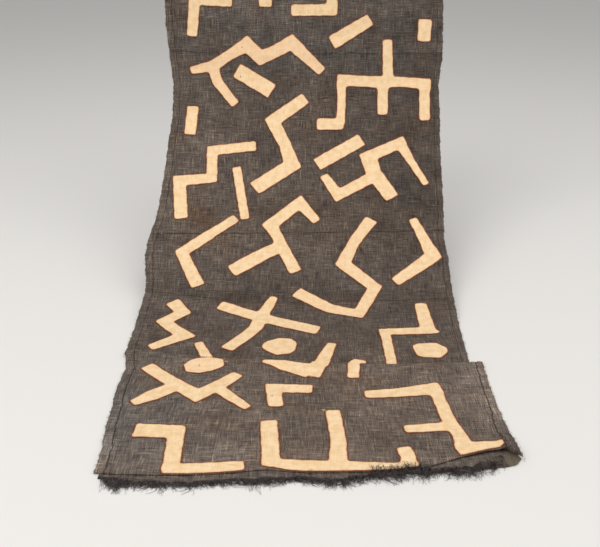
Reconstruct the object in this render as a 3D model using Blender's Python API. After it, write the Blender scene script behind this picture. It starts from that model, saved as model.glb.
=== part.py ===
"""A kuba cloth, hung from its top edge and sweeping forward onto the floor.

Five panels of dark raffia cloth are sewn end to end, with turned hems down both sides and cream appliqué
shapes sewn over them. The front panel laps over the end of the one before it, and a strip with a short
fringe is tucked under its front edge.

Metres, +Z up. +X is to the right of someone who faces the cloth and -Y is towards them. The origin is the
middle of the top edge. A place on the cloth is given flat, in millimetres, as (across, down): across from
the middle line, and down from the top edge along the cloth.
"""

import math

import bpy
import numpy as np
from mathutils import Vector
from mathutils.geometry import delaunay_2d_cdt

MM = 0.001

# Thicknesses and gaps, in millimetres
GROUND_THICK = 1.5
HEM_RISE = 0.8
HEM_WIDTH = 20.0
HEM_STEP = 1.5
APPLIQUE_THICK = 1.0
STRIP_THICK = 1.2
GAP = 0.3

# The rows and columns that the draped surface is cut into, in millimetres
ROW_PITCH = 30.0
FIRST_EVEN_ROW = 45.0
LAST_UPPER_ROW = 1125.0
MIDDLE_COLUMNS = 10
FRONT_ROWS = [1112.0, 1140.0, 1180.0, 1220.0]
LAST_FRONT_ROWS = [1310.0, 1330.0, 1380.0]
CUT_MERGE = 0.02

# How steeply the cloth runs down, from hanging to lying flat: down the cloth (mm), degrees from level
SWEEP = [
    (0, 90),
    (80, 86),
    (120, 83),
    (205, 76),
    (290, 66),
    (380, 54),
    (430, 49),
    (530, 40.5),
    (630, 35),
    (730, 30),
    (780, 25),
    (835, 14),
    (900, 5),
    (950, 0),
    (1600, 0),
]

# The side edges of the four upper panels: down, left edge, right edge (mm)
UPPER_EDGES = [
    (0, -303, 299),
    (170, -304, 304),
    (240, -296, 305),
    (300, -289, 297),
    (380, -290, 299),
    (440, -297, 297),
    (580, -305, 295),
    (620, -309, 293),
    (680, -321, 288),
    (720, -323, 293),
    (800, -312, 292),
    (900, -314, 290),
    (1010, -314, 286),
    (1110, -314, 284),
]

# The side edges of the front panel: down, left edge, right edge (mm)
FRONT_EDGES = [
    (960, -314, 303),
    (1036, -311, 304),
    (1056, -306, 306),
    (1078, -302, 306),
    (1100, -304, 306),
    (1128, -305, 304),
    (1155, -305, 305),
    (1200, -301, 305),
    (1230, -301, 307),
    (1262, -299, 308),
    (1301, -294, 311),
    (1400, -292, 314),
]

# The seams between the upper panels, from left to right: across, down (mm)
SEAMS = [
    [(-310, 226), (-120, 236), (90, 232), (310, 232)],
    [(-325, 666), (0, 661), (310, 656)],
    [(-325, 810), (-220, 824), (-100, 845), (90, 839), (310, 833)],
]

# The front panel's top edge, which laps over the panel above, and its front edge: across, down (mm)
LAP_LINE = [
    (-330, 1012),
    (-243, 1025),
    (-189, 1038),
    (-93, 1046),
    (79, 1060),
    (150, 1062),
    (300, 1054),
    (330, 1053),
]
FRONT_LINE = [
    (-300, 1359),
    (-213, 1363),
    (-160, 1363),
    (-120, 1360),
    (-95, 1357),
    (-75, 1353),
    (-50, 1350),
    (-25, 1354),
    (3, 1357),
    (56, 1356),
    (110, 1354),
    (150, 1349),
    (184, 1340),
    (221, 1324),
    (263, 1311),
    (291, 1306),
    (330, 1344),
]
LAP_DEPTH = 13.0
LAP_LIFT = GROUND_THICK + HEM_RISE + GAP
LAP_MIDDLE = 1056.0
LAP_LEVEL = 16.0
LAP_SLOPE = 14.0
LAP_STRAIGHTENS = 150.0

# The front panel rises over the strip, and its right front corner curls up off the floor (mm)
STRIP_RISE_FROM = 1258.0
STRIP_RISE_TO = 1288.0
CORNER_LIFT = 5.0
CORNER_ACROSS = (170.0, 300.0)
CORNER_DOWN = (1235.0, 1320.0)

# Soft ridges and ripples in the hanging cloth (mm)
CREASES = [(229, 2.0, 28), (661, 2.0, 24)]
HALF_WIDTH = 300.0
EDGE_CURL = 3.0
EDGE_RIPPLE = 1.6
RIPPLE_PITCH = 168.0
STILL_FROM = 860.0
STILL_TO = 940.0

# The strip under the front edge, and its fringe (mm)
STRIP_BACK = [(-288, 1325), (180, 1310), (300, 1292)]
STRIP_FRONT = [
    (-288, 1368),
    (-262, 1374),
    (-235, 1378),
    (-165, 1382),
    (-130, 1379),
    (-95, 1374),
    (0, 1370),
    (30, 1375),
    (60, 1373),
    (90, 1364),
    (130, 1359),
    (230, 1351),
    (265, 1346),
    (300, 1338),
]
STRIP_ENDS = (-286.0, 298.0)
STRIP_POINTS = 7
FLOOR_WIDE = 400.0
FLOOR_DOWN = (1200.0, 1450.0)
STRAND_COUNT = 145
STRAND_ROOT = 2.8
STRAND_TIP = 0.9
STRAND_LENGTHS = (9.0, 21.0)
STRAND_SWAY = 5.0
SWAY_PITCH = 145.0
STRAND_JITTER = 0.5
BEND_SHARE = 0.3
BEND_WIDTH = 0.8

# The appliqué: name, panel it lies on, and its bands as strokes of (across, down, width) in mm.
# A shape that crosses the lap is two pieces, one on each panel, cut along the lap line.
APPLIQUE = [
    ("angle_top_left", "upper", [[(-156, 121, 26), (-239, 117, 26), (-247, 196, 25)]]),
    ("bar_top", "upper", [[(-84, 62, 30), (-85, 134, 30)]]),
    ("foot_top", "upper", [[(-30, 140, 26), (61, 139, 26), (61, 72, 24)]]),
    ("bar_slant_top", "upper", [[(60, 210, 33), (146, 159, 28)]]),
    ("block_top_right", "upper", [[(265, 158, 31), (263, 207, 30)]]),
    (
        "forked_zigzag",
        "upper",
        [
            [
                (-252, 270, 17),
                (-201, 260, 26),
                (-165, 236, 24),
                (-127, 212, 32),
                (-96, 242, 31),
                (-62, 227, 29),
                (-28, 208, 32),
                (41, 273, 22),
            ],
            [(-201, 260, 26), (-193, 292, 24), (-151, 347, 21)],
        ],
    ),
    ("bar_slant_left", "upper", [[(-150, 268, 35), (-70, 316, 36)]]),
    (
        "trident",
        "upper",
        [
            [(72, 290, 28), (130, 293, 26), (179, 295, 28), (210, 294, 24), (281, 300, 26)],
            [(82, 291, 22), (83, 336, 20), (80, 391, 21)],
            [(27, 391, 29), (88, 391, 28)],
            [(183, 201, 23), (186, 298, 25)],
            [(174, 298, 25), (173, 370, 25)],
            [(266, 300, 25), (265, 384, 25)],
        ],
    ),
    ("bar_left", "upper", [[(-245, 349, 27), (-250, 418, 27)]]),
    (
        "bend_middle",
        "upper",
        [
            [
                (4, 330, 29),
                (-69, 384, 31),
                (-41, 441, 28),
                (-25, 489, 35),
                (-107, 549, 36),
            ],
        ],
    ),
    ("bar_slant_middle", "upper", [[(27, 490, 32), (127, 427, 32)]]),
    (
        "stair",
        "upper",
        [[(-104, 443, 25), (-200, 455, 25), (-198, 522, 25), (-267, 530, 29), (-257, 626, 30)]],
    ),
    ("bar_thin", "upper", [[(-146, 494, 21), (-123, 627, 21)]]),
    (
        "hooked_fork",
        "upper",
        [
            [(42, 514, 21), (72, 565, 27), (150, 518, 28)],
            [(139, 464, 38), (150, 508, 35), (188, 573, 33)],
            [(124, 477, 29), (211, 436, 27), (232, 481, 19), (262, 540, 16)],
        ],
    ),
    (
        "bend_with_arm",
        "upper",
        [
            [(28, 633, 21), (-8, 583, 27), (-71, 642, 30), (-58, 664, 25), (-16, 760, 28)],
            [(-42, 691, 28), (-79, 712, 31), (-113, 735, 34), (-147, 759, 32)],
        ],
    ),
    ("corner_left", "upper", [[(-141, 622, 23), (-249, 711, 26), (-209, 798, 30)]]),
    (
        "long_bend",
        "upper",
        [
            [
                (142, 625, 30),
                (103, 684, 25),
                (79, 737, 30),
                (140, 799, 27),
                (104, 880, 26),
                (50, 863, 29),
                (-16, 812, 31),
            ],
        ],
    ),
    ("chevron_right", "upper", [[(227, 623, 20), (249, 684, 25), (263, 719, 32), (180, 786, 25)]]),
    (
        "small_zigzag",
        "upper",
        [
            [(-256, 842, 32), (-230, 878, 27), (-262, 909, 26), (-216, 960, 31), (-274, 1005, 23)],
        ],
    ),
    (
        "cross_middle",
        "upper",
        [
            [(-164, 852, 29), (-83, 893, 29), (28, 941, 31)],
            [(-57, 826, 18), (-80, 886, 28), (-89, 930, 28), (-109, 966, 28), (-138, 1010, 28)],
        ],
    ),
    (
        "lozenge_middle",
        "upper",
        [
            [(-75, 995, 12), (-66, 996, 36), (-48, 999, 62), (-24, 998, 57), (-13, 999, 30)],
        ],
    ),
    ("post_left", "upper", [[(-190, 984, 18), (-165, 1046, 22)]]),
    ("lozenge_left", "front", [[(-203, 1076, 26), (-183, 1069, 47), (-160, 1062, 45), (-136, 1059, 20)]]),
    ("check_arm", "upper", [[(51, 986, 18), (38, 1030, 25), (27, 1070, 30)]]),
    (
        "check_foot",
        "front",
        [
            [(-72, 1054, 10), (-41, 1063, 28), (-5, 1079, 38), (12, 1084, 46)],
            [(30, 1040, 30), (12, 1100, 31)],
        ],
    ),
    ("wedge_tip", "upper", [[(78, 1055, 8), (89, 1052, 22), (108, 1055, 12)]]),
    ("wedge", "front", [[(86, 1040, 22), (82, 1106, 22)]]),
    (
        "stepped_bar",
        "upper",
        [
            [(225, 847, 25), (229, 925, 30), (230, 941, 30)],
            [(250, 945, 8), (228, 939, 27), (137, 945, 24)],
            [(149, 945, 20), (151, 1072, 20)],
        ],
    ),
    (
        "lozenge_right",
        "upper",
        [
            [(196, 1014, 26), (202, 1012, 42), (222, 1012, 54), (238, 1011, 54), (254, 1011, 16)],
        ],
    ),
    (
        "double_cross",
        "front",
        [
            [(-269, 1067, 27), (-225, 1112, 28), (-172, 1161, 30), (-135, 1124, 29), (-109, 1092, 23)],
            [(-273, 1183, 18), (-243, 1159, 32), (-207, 1130, 28)],
            [(-141, 1138, 25), (-87, 1196, 17)],
        ],
    ),
    ("angle_middle", "front", [[(15, 1140, 26), (-50, 1137, 27), (-44, 1192, 26)]]),
    (
        "comb_right",
        "front",
        [
            [(97, 1156, 23), (154, 1150, 27), (225, 1136, 38)],
            [(212, 1133, 22), (221, 1223, 24), (232, 1270, 24), (233, 1307, 28)],
            [(150, 1252, 21), (220, 1244, 24)],
            [(220, 1306, 33), (291, 1294, 16)],
        ],
    ),
    (
        "stepped_angle_left",
        "front",
        [
            [(-256, 1256, 37), (-180, 1261, 36)],
            [(-191, 1248, 27), (-187, 1350, 26)],
            [(-200, 1355, 28), (-83, 1343, 23)],
        ],
    ),
    (
        "long_comb",
        "front",
        [
            [(-54, 1229, 28), (-46, 1341, 28)],
            [(-61, 1334, 18), (-6, 1343, 27), (57, 1345, 27), (120, 1346, 22), (165, 1342, 12)],
            [(45, 1200, 25), (51, 1282, 25), (48, 1341, 29)],
            [(145, 1298, 24), (149, 1322, 24), (149, 1343, 27)],
        ],
    ),
]

# Finishes: base colour, roughness
FINISHES = {
    "ground": ((0.075, 0.066, 0.062, 1.0), 0.9),
    "front ground": ((0.115, 0.1, 0.092, 1.0), 0.9),
    "applique": ((0.87, 0.7, 0.45, 1.0), 0.8),
    "fringe": ((0.03, 0.026, 0.025, 1.0), 0.95),
}


def soft_step(value, low, high):
    """0 below low, 1 above high and a smooth rise between."""
    share = np.clip((value - low) / (high - low), 0.0, 1.0)
    return share * share * (3.0 - 2.0 * share)


def along(table, at, column=1):
    """A column of a table, read at a distance between its rows."""
    rows = np.array(table, float)
    return np.interp(at, rows[:, 0], rows[:, column])


def sweep():
    """The line of the underside from top to floor: down, out towards the viewer, drop, steepness."""
    step = 1.0
    down = np.arange(0.0, SWEEP[-1][0] + step, step)
    steep = np.radians(along(SWEEP, down))
    middle = (steep[1:] + steep[:-1]) / 2
    out = np.concatenate([[0.0], np.cumsum(np.cos(middle) * step)])
    drop = np.concatenate([[0.0], np.cumsum(np.sin(middle) * step)])
    return down, out, drop, steep


SWEEP_LINE = sweep()


def ripple(across, down):
    """How far the cloth stands out from its plain sweep: creases along two seams and wavy side edges."""
    hung = 1.0 - soft_step(down, STILL_FROM, STILL_TO)
    out_at_edge = (np.abs(across) / HALF_WIDTH) ** 4
    waves = EDGE_RIPPLE * np.sin(2 * math.pi * down / RIPPLE_PITCH + np.sign(across))
    creases = sum(high * np.exp(-(((down - at) / half) ** 2)) for at, high, half in CREASES)
    return hung * (creases + out_at_edge * (EDGE_CURL + waves))


def front_lift(across, down):
    """How far the front panel's underside is off the floor: over the lap, over the strip, at its corner."""
    below_lap = down - along(LAP_LINE, across)
    over_lap = LAP_LIFT * np.interp(below_lap, [LAP_LEVEL, LAP_LEVEL + LAP_SLOPE], [1.0, 0.0])
    over_strip = (STRIP_THICK + GAP) * np.interp(down, [STRIP_RISE_FROM, STRIP_RISE_TO], [0.0, 1.0])
    corner = CORNER_LIFT * soft_step(across, *CORNER_ACROSS) * soft_step(down, *CORNER_DOWN)
    return over_lap + over_strip + corner


def columns(left, right):
    """Where the grid's columns cross a row: close together at the hems, even between them."""
    hem = [0.0, HEM_WIDTH, HEM_WIDTH + HEM_STEP]
    inner = np.linspace(left + hem[-1], right - hem[-1], MIDDLE_COLUMNS + 1)
    return np.concatenate([left + np.array(hem[:2]), inner, right - np.array(hem[1::-1])])


class Drape:
    """The underside of hung cloth as a grid of triangles, flat in millimetres and hung in metres."""

    def __init__(self, flat, lift):
        self.flat = flat
        across, down = flat[..., 0], flat[..., 1]
        place = [np.interp(down, SWEEP_LINE[0], line) for line in SWEEP_LINE[1:]]
        out, drop, steep = place
        self.normal = np.stack([np.zeros_like(out), -np.sin(steep), np.cos(steep)], axis=-1)
        plain = np.stack([across, -out, -drop], axis=-1)
        self.hung = (plain + self.normal * lift(across, down)[..., None]) * MM
        rows, cols = across.shape
        number = np.arange(rows * cols).reshape(rows, cols)
        a, b, c, d = number[:-1, :-1], number[:-1, 1:], number[1:, 1:], number[1:, :-1]
        self.triangles = np.concatenate(
            [np.stack([a, b, c], -1).reshape(-1, 3), np.stack([a, c, d], -1).reshape(-1, 3)]
        )

    def column(self, number, down):
        """Where one of the grid's columns is, at a distance down the cloth."""
        return float(np.interp(down, self.flat[:, number, 1], self.flat[:, number, 0]))

    def crossing(self, line, shift):
        """A line across the cloth, moved down by shift, with a point wherever it meets a column."""
        points = []
        for number in range(self.flat.shape[1]):
            down = float(along(line, self.column(number, line[0][1]))) + shift
            for _ in range(4):
                across = self.column(number, down)
                down = float(along(line, across)) + shift
            points.append((across, down))
        return points

    def side(self, number, low, high):
        """The grid's points on one side edge between two distances down the cloth."""
        return [tuple(p) for p in self.flat[:, number] if low + 0.5 < p[1] < high - 0.5]

    def outline(self, top, bottom):
        """The closed outline of the cloth between two lines across it."""
        right = self.side(-1, top[-1][1], bottom[-1][1])
        left = self.side(0, top[0][1], bottom[0][1])
        return top + right + bottom[::-1] + left[::-1]

    def lay(self, points, height):
        """Flat points, each at a height above the underside, in their hung place."""
        flat = self.flat.reshape(-1, 2)[self.triangles]
        first, second, third = flat[:, 0], flat[:, 1], flat[:, 2]
        size = cross(second - first, third - first)
        point = np.asarray(points, float)[:, None, :]
        share_b = cross(point - first, third - first) / size
        share_c = cross(second - first, point - first) / size
        shares = np.stack([1.0 - share_b - share_c, share_b, share_c], axis=-1)
        best = shares.min(axis=-1).argmax(axis=1)
        weights = shares[np.arange(len(best)), best][..., None]
        corners = self.triangles[best]
        hung = (self.hung.reshape(-1, 3)[corners] * weights).sum(axis=1)
        normal = (self.normal.reshape(-1, 3)[corners] * weights).sum(axis=1)
        return hung + normal * np.asarray(height, float)[:, None] * MM


def cross(a, b):
    """The z part of the cross product of flat vectors."""
    return a[..., 0] * b[..., 1] - a[..., 1] * b[..., 0]


def upper_drape():
    """The surface under the four upper panels."""
    even_rows = np.arange(FIRST_EVEN_ROW, LAST_UPPER_ROW + 1.0, ROW_PITCH)
    rows = np.concatenate([[0.0, HEM_WIDTH, HEM_WIDTH + HEM_STEP], even_rows])
    left, right = along(UPPER_EDGES, rows), along(UPPER_EDGES, rows, 2)
    flat = [[(x, down) for x in columns(a, b)] for down, a, b in zip(rows, left, right)]
    return Drape(np.array(flat), ripple)


def front_drape():
    """The surface under the front panel, whose rows run along the lap line at first and then straight."""
    near_lap = [LAP_MIDDLE + below for below in (0.0, LAP_LEVEL, LAP_LEVEL + LAP_SLOPE)]
    rows = near_lap + FRONT_ROWS + [STRIP_RISE_FROM, STRIP_RISE_TO] + LAST_FRONT_ROWS
    flat = []
    for down in rows:
        fade = 1.0 - soft_step(down, near_lap[-1], LAP_MIDDLE + LAP_STRAIGHTENS)
        across = columns(along(FRONT_EDGES, down), along(FRONT_EDGES, down, 2))
        row_down = down + fade * (along(LAP_LINE, across) - LAP_MIDDLE)
        flat.append(np.stack([across, row_down], axis=-1))
    return Drape(np.array(flat), front_lift)


def floor_drape():
    """The flat floor that the strip lies on."""
    flat = [[(-FLOOR_WIDE, down), (FLOOR_WIDE, down)] for down in FLOOR_DOWN]
    return Drape(np.array(flat), no_lift)


def no_lift(across, down):
    """No rise off the floor anywhere."""
    return np.zeros_like(across)


UPPER = upper_drape()
FRONT = front_drape()
FLOOR = floor_drape()
DRAPES = {"upper": UPPER, "front": FRONT}


def ground_top(drape, points):
    """The height of a panel's upper side above its underside: thicker where the hem is turned."""
    across, down = np.asarray(points, float).T
    edges = [np.interp(down, drape.flat[:, side, 1], drape.flat[:, side, 0]) for side in (0, -1)]
    inward = np.minimum(across - edges[0], edges[1] - across)
    if drape is UPPER:
        inward = np.minimum(inward, down)
    return GROUND_THICK + np.interp(inward, [HEM_WIDTH, HEM_WIDTH + HEM_STEP], [HEM_RISE, 0.0])


def anticlockwise(polygon):
    """The polygon again, turned round if it runs clockwise."""
    points = np.array(polygon)
    area = cross(points, np.roll(points, -1, axis=0)).sum()
    return polygon if area > 0 else polygon[::-1]


def cut_flat(drape, shapes, inside):
    """Triangles that fill the shapes, cut along the grid's lines and kept inside an outline."""
    polygons = [anticlockwise(polygon) for polygon in shapes + ([inside] if inside else [])]
    coords = [Vector(p) for polygon in polygons for p in polygon]
    faces, start = [], 0
    for polygon in polygons:
        faces.append(list(range(start, start + len(polygon))))
        start += len(polygon)
    spots = np.array([p for polygon in shapes for p in polygon])
    low, high = spots.min(axis=0) - 1.0, spots.max(axis=0) + 1.0
    nodes = drape.flat.reshape(-1, 2)
    corners = nodes[drape.triangles]
    near = (corners.max(axis=1) >= low).all(axis=1) & (corners.min(axis=1) <= high).all(axis=1)
    edges = {tuple(sorted((int(t[i]), int(t[i - 1])))) for t in drape.triangles[near] for i in range(3)}
    used = sorted({n for edge in edges for n in edge})
    place = {n: start + i for i, n in enumerate(used)}
    coords += [Vector(nodes[n]) for n in used]
    lines = [(place[a], place[b]) for a, b in sorted(edges)]
    points, _, triangles, _, _, owners = delaunay_2d_cdt(coords, lines, faces, 0, CUT_MERGE)
    kept = []
    for triangle, owner in zip(triangles, owners):
        in_shape = any(face < len(shapes) for face in owner)
        if in_shape and (not inside or len(shapes) in owner):
            kept.append(triangle)
    numbers = sorted({n for triangle in kept for n in triangle})
    renumber = {n: i for i, n in enumerate(numbers)}
    return [tuple(points[n]) for n in numbers], [tuple(renumber[n] for n in t) for t in kept]


def close_sheet(name, drape, points, triangles, low, high, material):
    """A closed solid between two heights over the same flat triangles."""
    count = len(points)
    places = np.concatenate([drape.lay(points, high), drape.lay(points, low)])
    facing = [t if cross(*turn(points, t)) < 0 else t[::-1] for t in triangles]
    faces = facing + [tuple(count + n for n in t[::-1]) for t in facing]
    sides = {(t[i - 1], t[i]) for t in facing for i in range(3)}
    rim = sorted((a, b) for a, b in sides if (b, a) not in sides)
    faces += [(b, a, count + a, count + b) for a, b in rim]
    mesh = bpy.data.meshes.new(name)
    mesh.from_pydata([tuple(p) for p in places], [], faces)
    mesh.materials.append(material)
    mesh.validate()
    piece = bpy.data.objects.new(name, mesh)
    bpy.context.scene.collection.objects.link(piece)
    return piece


def turn(points, triangle):
    """Two edges of a flat triangle, whose cross product says which way round it runs."""
    a, b, c = (np.array(points[n]) for n in triangle)
    return b - a, c - b


def band(stroke):
    """The outline of a band along a stroke, with square ends and mitred bends."""
    points = np.array([p[:2] for p in stroke], float)
    half = np.array([p[2] for p in stroke], float) / 2
    steps = np.diff(points, axis=0)
    steps /= np.linalg.norm(steps, axis=1)[:, None]
    before = np.concatenate([steps[:1], steps])
    after = np.concatenate([steps, steps[-1:]])
    bisector = before + after
    bisector /= np.linalg.norm(bisector, axis=1)[:, None]
    stretch = 1.0 / np.maximum((bisector * after).sum(axis=1), 0.55)
    sideways = np.stack([-bisector[:, 1], bisector[:, 0]], axis=1) * (half * stretch)[:, None]
    return [tuple(p) for p in points + sideways] + [tuple(p) for p in (points - sideways)[::-1]]


def make_panels(ground, front_ground):
    """The five ground panels, the upper four butted at their seams and the last one lapped."""
    tops = [[(x, 0.0) for x in UPPER.flat[0, :, 0]]]
    tops += [UPPER.crossing(seam, GAP / 2) for seam in SEAMS]
    ends = [UPPER.crossing(seam, -GAP / 2) for seam in SEAMS] + [UPPER.crossing(LAP_LINE, LAP_DEPTH)]
    for number, (top, end) in enumerate(zip(tops, ends), start=1):
        points, triangles = cut_flat(UPPER, [UPPER.outline(top, end)], None)
        high = ground_top(UPPER, points)
        close_sheet(f"ground_{number}", UPPER, points, triangles, np.zeros(len(high)), high, ground)
    top = [tuple(p) for p in FRONT.flat[0]]
    points, triangles = cut_flat(FRONT, [FRONT.outline(top, FRONT.crossing(FRONT_LINE, 0.0))], None)
    high = ground_top(FRONT, points)
    close_sheet("ground_5", FRONT, points, triangles, np.zeros(len(high)), high, front_ground)


def make_applique(material):
    """The appliqué shapes, each laid on its panel's upper side."""
    lap = [tuple(p) for p in FRONT.flat[0]]
    before_lap = [(across, down - GAP) for across, down in lap]
    top_corners = [(-FLOOR_WIDE, 0.0), (FLOOR_WIDE, 0.0)]
    whole_upper = [(-FLOOR_WIDE, before_lap[0][1])] + top_corners + [(FLOOR_WIDE, before_lap[-1][1])]
    whole_upper += before_lap[::-1]
    whole_front = FRONT.outline(lap, FRONT.crossing(FRONT_LINE, 0.0))
    inside = {"upper": whole_upper, "front": whole_front}
    for number, (name, panel, strokes) in enumerate(APPLIQUE, start=1):
        drape = DRAPES[panel]
        points, triangles = cut_flat(drape, [band(stroke) for stroke in strokes], inside[panel])
        low = ground_top(drape, points) + GAP
        node = f"applique_{number:02d}_{name}"
        close_sheet(node, drape, points, triangles, low, low + APPLIQUE_THICK, material)


def fringe_outline():
    """The strip's outline, with a row of tapered strands along its front edge."""
    rng = np.random.default_rng(7)
    left, right = STRIP_ENDS
    back = [(x, float(along(STRIP_BACK, x))) for x in np.linspace(left, right, STRIP_POINTS)]
    pitch = (right - left) / STRAND_COUNT
    middles = left + pitch * (np.arange(STRAND_COUNT) + 0.5)
    turns = 2 * math.pi * middles / SWAY_PITCH
    sway = STRAND_SWAY * np.sin(turns + 1.5 * np.sin(turns * 0.38))
    comb = []
    for middle, lean in zip(middles, sway):
        root = float(along(STRIP_FRONT, middle))
        length = rng.uniform(*STRAND_LENGTHS)
        tip = middle + lean * length / STRAND_LENGTHS[1] + rng.uniform(-STRAND_JITTER, STRAND_JITTER)
        bend = (middle + (tip - middle) * BEND_SHARE, root + length * 0.5)
        half_root, half_bend, half_tip = STRAND_ROOT / 2, STRAND_ROOT * BEND_WIDTH / 2, STRAND_TIP / 2
        end = root + length
        comb += [(middle - half_root, root), (bend[0] - half_bend, bend[1]), (tip - half_tip, end)]
        comb += [(tip + half_tip, end), (bend[0] + half_bend, bend[1]), (middle + half_root, root)]
    front_left = (left, float(along(STRIP_FRONT, left)))
    front_right = (right, float(along(STRIP_FRONT, right)))
    return back + [front_right] + comb[::-1] + [front_left]


def make_fringe(material):
    """The strip tucked under the front edge, in one piece with its strands, flat on the floor."""
    points, triangles = cut_flat(FLOOR, [fringe_outline()], None)
    low, high = np.zeros(len(points)), np.full(len(points), STRIP_THICK)
    close_sheet("fringe_strip", FLOOR, points, triangles, low, high, material)


def make_material(name):
    """A plain finish with the cloth's colour."""
    colour, roughness = FINISHES[name]
    material = bpy.data.materials.new(name)
    material.use_nodes = True
    shader = material.node_tree.nodes["Principled BSDF"]
    shader.inputs["Base Color"].default_value = colour
    shader.inputs["Roughness"].default_value = roughness
    shader.inputs["Metallic"].default_value = 0.0
    return material


def main():
    for thing in list(bpy.data.objects):
        bpy.data.objects.remove(thing, do_unlink=True)
    finish = {name: make_material(name) for name in FINISHES}
    make_panels(finish["ground"], finish["front ground"])
    make_applique(finish["applique"])
    make_fringe(finish["fringe"])


main()
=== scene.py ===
"""Kuba cloth: dark raffia panels with cream appliqué, sewn hems and a curly fringe.

The construction frame is loaded first, and each piece made here stands for one or more of its nodes.
A place on the cloth is flat, in millimetres, as (across, down): across from the middle line, to the right
of someone who faces the cloth, and down from the top edge along the cloth. The sweep then bends that flat
place into the hung one, in metres.
"""

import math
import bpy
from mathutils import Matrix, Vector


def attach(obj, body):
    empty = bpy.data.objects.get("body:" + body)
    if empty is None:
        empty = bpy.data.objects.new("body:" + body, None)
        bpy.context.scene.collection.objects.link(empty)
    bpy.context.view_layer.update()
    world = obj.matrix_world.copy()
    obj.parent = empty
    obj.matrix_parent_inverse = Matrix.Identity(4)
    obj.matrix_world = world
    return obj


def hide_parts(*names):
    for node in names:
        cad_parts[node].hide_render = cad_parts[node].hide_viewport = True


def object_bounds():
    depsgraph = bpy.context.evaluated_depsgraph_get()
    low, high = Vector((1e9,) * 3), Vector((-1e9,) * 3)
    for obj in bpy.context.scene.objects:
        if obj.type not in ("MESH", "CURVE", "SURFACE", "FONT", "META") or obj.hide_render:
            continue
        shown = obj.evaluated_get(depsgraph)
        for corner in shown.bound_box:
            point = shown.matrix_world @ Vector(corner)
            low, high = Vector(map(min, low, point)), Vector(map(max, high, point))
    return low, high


bl_info = {
    "name": "Kuba Cloth",
    "version": (1, 0, 0),
    "blender": (4, 5, 0),
    "location": "3D View > Sidebar > Kuba Cloth",
    "description": "Raffia panels with cream appliqué, hung from the top edge and swept onto a floor",
    "category": "Add Mesh",
}

import bpy
import numpy as np

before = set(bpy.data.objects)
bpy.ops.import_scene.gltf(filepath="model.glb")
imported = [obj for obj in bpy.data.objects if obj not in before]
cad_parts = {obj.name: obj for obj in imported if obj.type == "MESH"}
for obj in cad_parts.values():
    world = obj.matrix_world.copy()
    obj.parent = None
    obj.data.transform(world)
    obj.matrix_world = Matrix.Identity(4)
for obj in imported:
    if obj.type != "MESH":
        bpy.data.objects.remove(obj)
CAD_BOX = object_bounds()
MM = 0.001
FLOOR_Z = float(CAD_BOX[0][2])

# How steeply the cloth runs down: down the cloth (mm), degrees from level
SWEEP = [
    (0, 90), (80, 86), (120, 83), (205, 76), (290, 66), (380, 54), (430, 49), (530, 40.5), (630, 35),
    (730, 30), (780, 25), (835, 14), (900, 5), (950, 0), (1600, 0),
]

# The side edges of the upper panels and of the front panel: down, left edge, right edge (mm)
SIDES = {
    "upper": [
        (0, -303, 299), (170, -304, 304), (240, -296, 305), (300, -289, 297), (380, -290, 299),
        (440, -297, 297), (580, -305, 295), (620, -309, 293), (680, -321, 288), (720, -323, 293),
        (800, -312, 292), (900, -314, 290), (1010, -314, 286), (1110, -314, 284),
    ],
    "front": [
        (960, -314, 303), (1036, -311, 304), (1056, -306, 306), (1078, -302, 306), (1100, -304, 306),
        (1128, -305, 304), (1155, -305, 305), (1200, -301, 305), (1230, -301, 307), (1262, -299, 308),
        (1301, -294, 311), (1400, -292, 314),
    ],
}

# Lines across the cloth: across, down (mm)
SEAM_TABLES = [
    [(-310, 226), (-120, 236), (90, 232), (310, 232)],
    [(-325, 666), (0, 661), (310, 656)],
    [(-325, 810), (-220, 824), (-100, 845), (90, 839), (310, 833)],
]
LAP_LINE = [
    (-330, 1012), (-243, 1025), (-189, 1038), (-93, 1046), (79, 1060), (150, 1062), (300, 1054),
    (330, 1053),
]
FRONT_LINE = [
    (-300, 1359), (-213, 1363), (-160, 1363), (-120, 1360), (-95, 1357), (-75, 1353), (-50, 1350),
    (-25, 1354), (3, 1357), (56, 1356), (110, 1354), (150, 1349), (184, 1340), (221, 1324), (263, 1311),
    (291, 1306), (330, 1344),
]
STRIP_BACK = [(-288, 1325), (180, 1310), (300, 1292)]
STRIP_FRONT = [
    (-288, 1368), (-262, 1374), (-235, 1378), (-165, 1382), (-130, 1379), (-95, 1374), (0, 1370),
    (30, 1375), (60, 1373), (90, 1364), (130, 1359), (230, 1351), (265, 1346), (300, 1338),
]
STRIP_ENDS = (-286.0, 298.0)

# The strip's right end bulges: share of the way from back to front, across (mm)
STRIP_RIGHT = [(0.0, 300), (0.33, 307), (0.65, 312), (1.0, 300)]

# The strip's depth, its grid from back to front and across, its rounded rim and its waves (mm)
STRIP_DEPTH = 48.0
STRIP_GRID = (2.2, 3.0)
STRIP_RIM = 0.7
STRIP_EDGE_WAVE = 0.8
STRIP_EDGE_PITCH = 19.0
STRIP_WAVE = 0.9
STRIP_WAVE_PITCH = 43.0
STRIP_WAVE_FROM = (2.0, 14.0)

# The strands: across, how far back from the strip's front they start, usual length, usual height (mm)
STRANDS = [
    (-290, 4, 23, 3.0),
    (-266, 4, 19, 2.5),
    (-235, 3, 13, 1.5),
    (-200, 3, 11, 1.5),
    (-160, 4, 12, 1.5),
    (-120, 4, 11, 2.0),
    (-20, 5, 13, 2.5),
    (20, 5, 12, 2.5),
    (37, 5, 14, 2.5),
    (44, 5, 26, 3.0),
    (51, 5, 14, 2.5),
    (80, 7, 13, 4.0),
    (130, 10, 16, 5.0),
    (165, 14, 16, 6.0),
    (200, 10, 15, 4.5),
    (240, 10, 18, 4.5),
    (262, 18, 16, 5.0),
    (282, 26, 14, 5.0),
]
CLUMPS = 430
CLUMP_SIZE = 5

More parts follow.
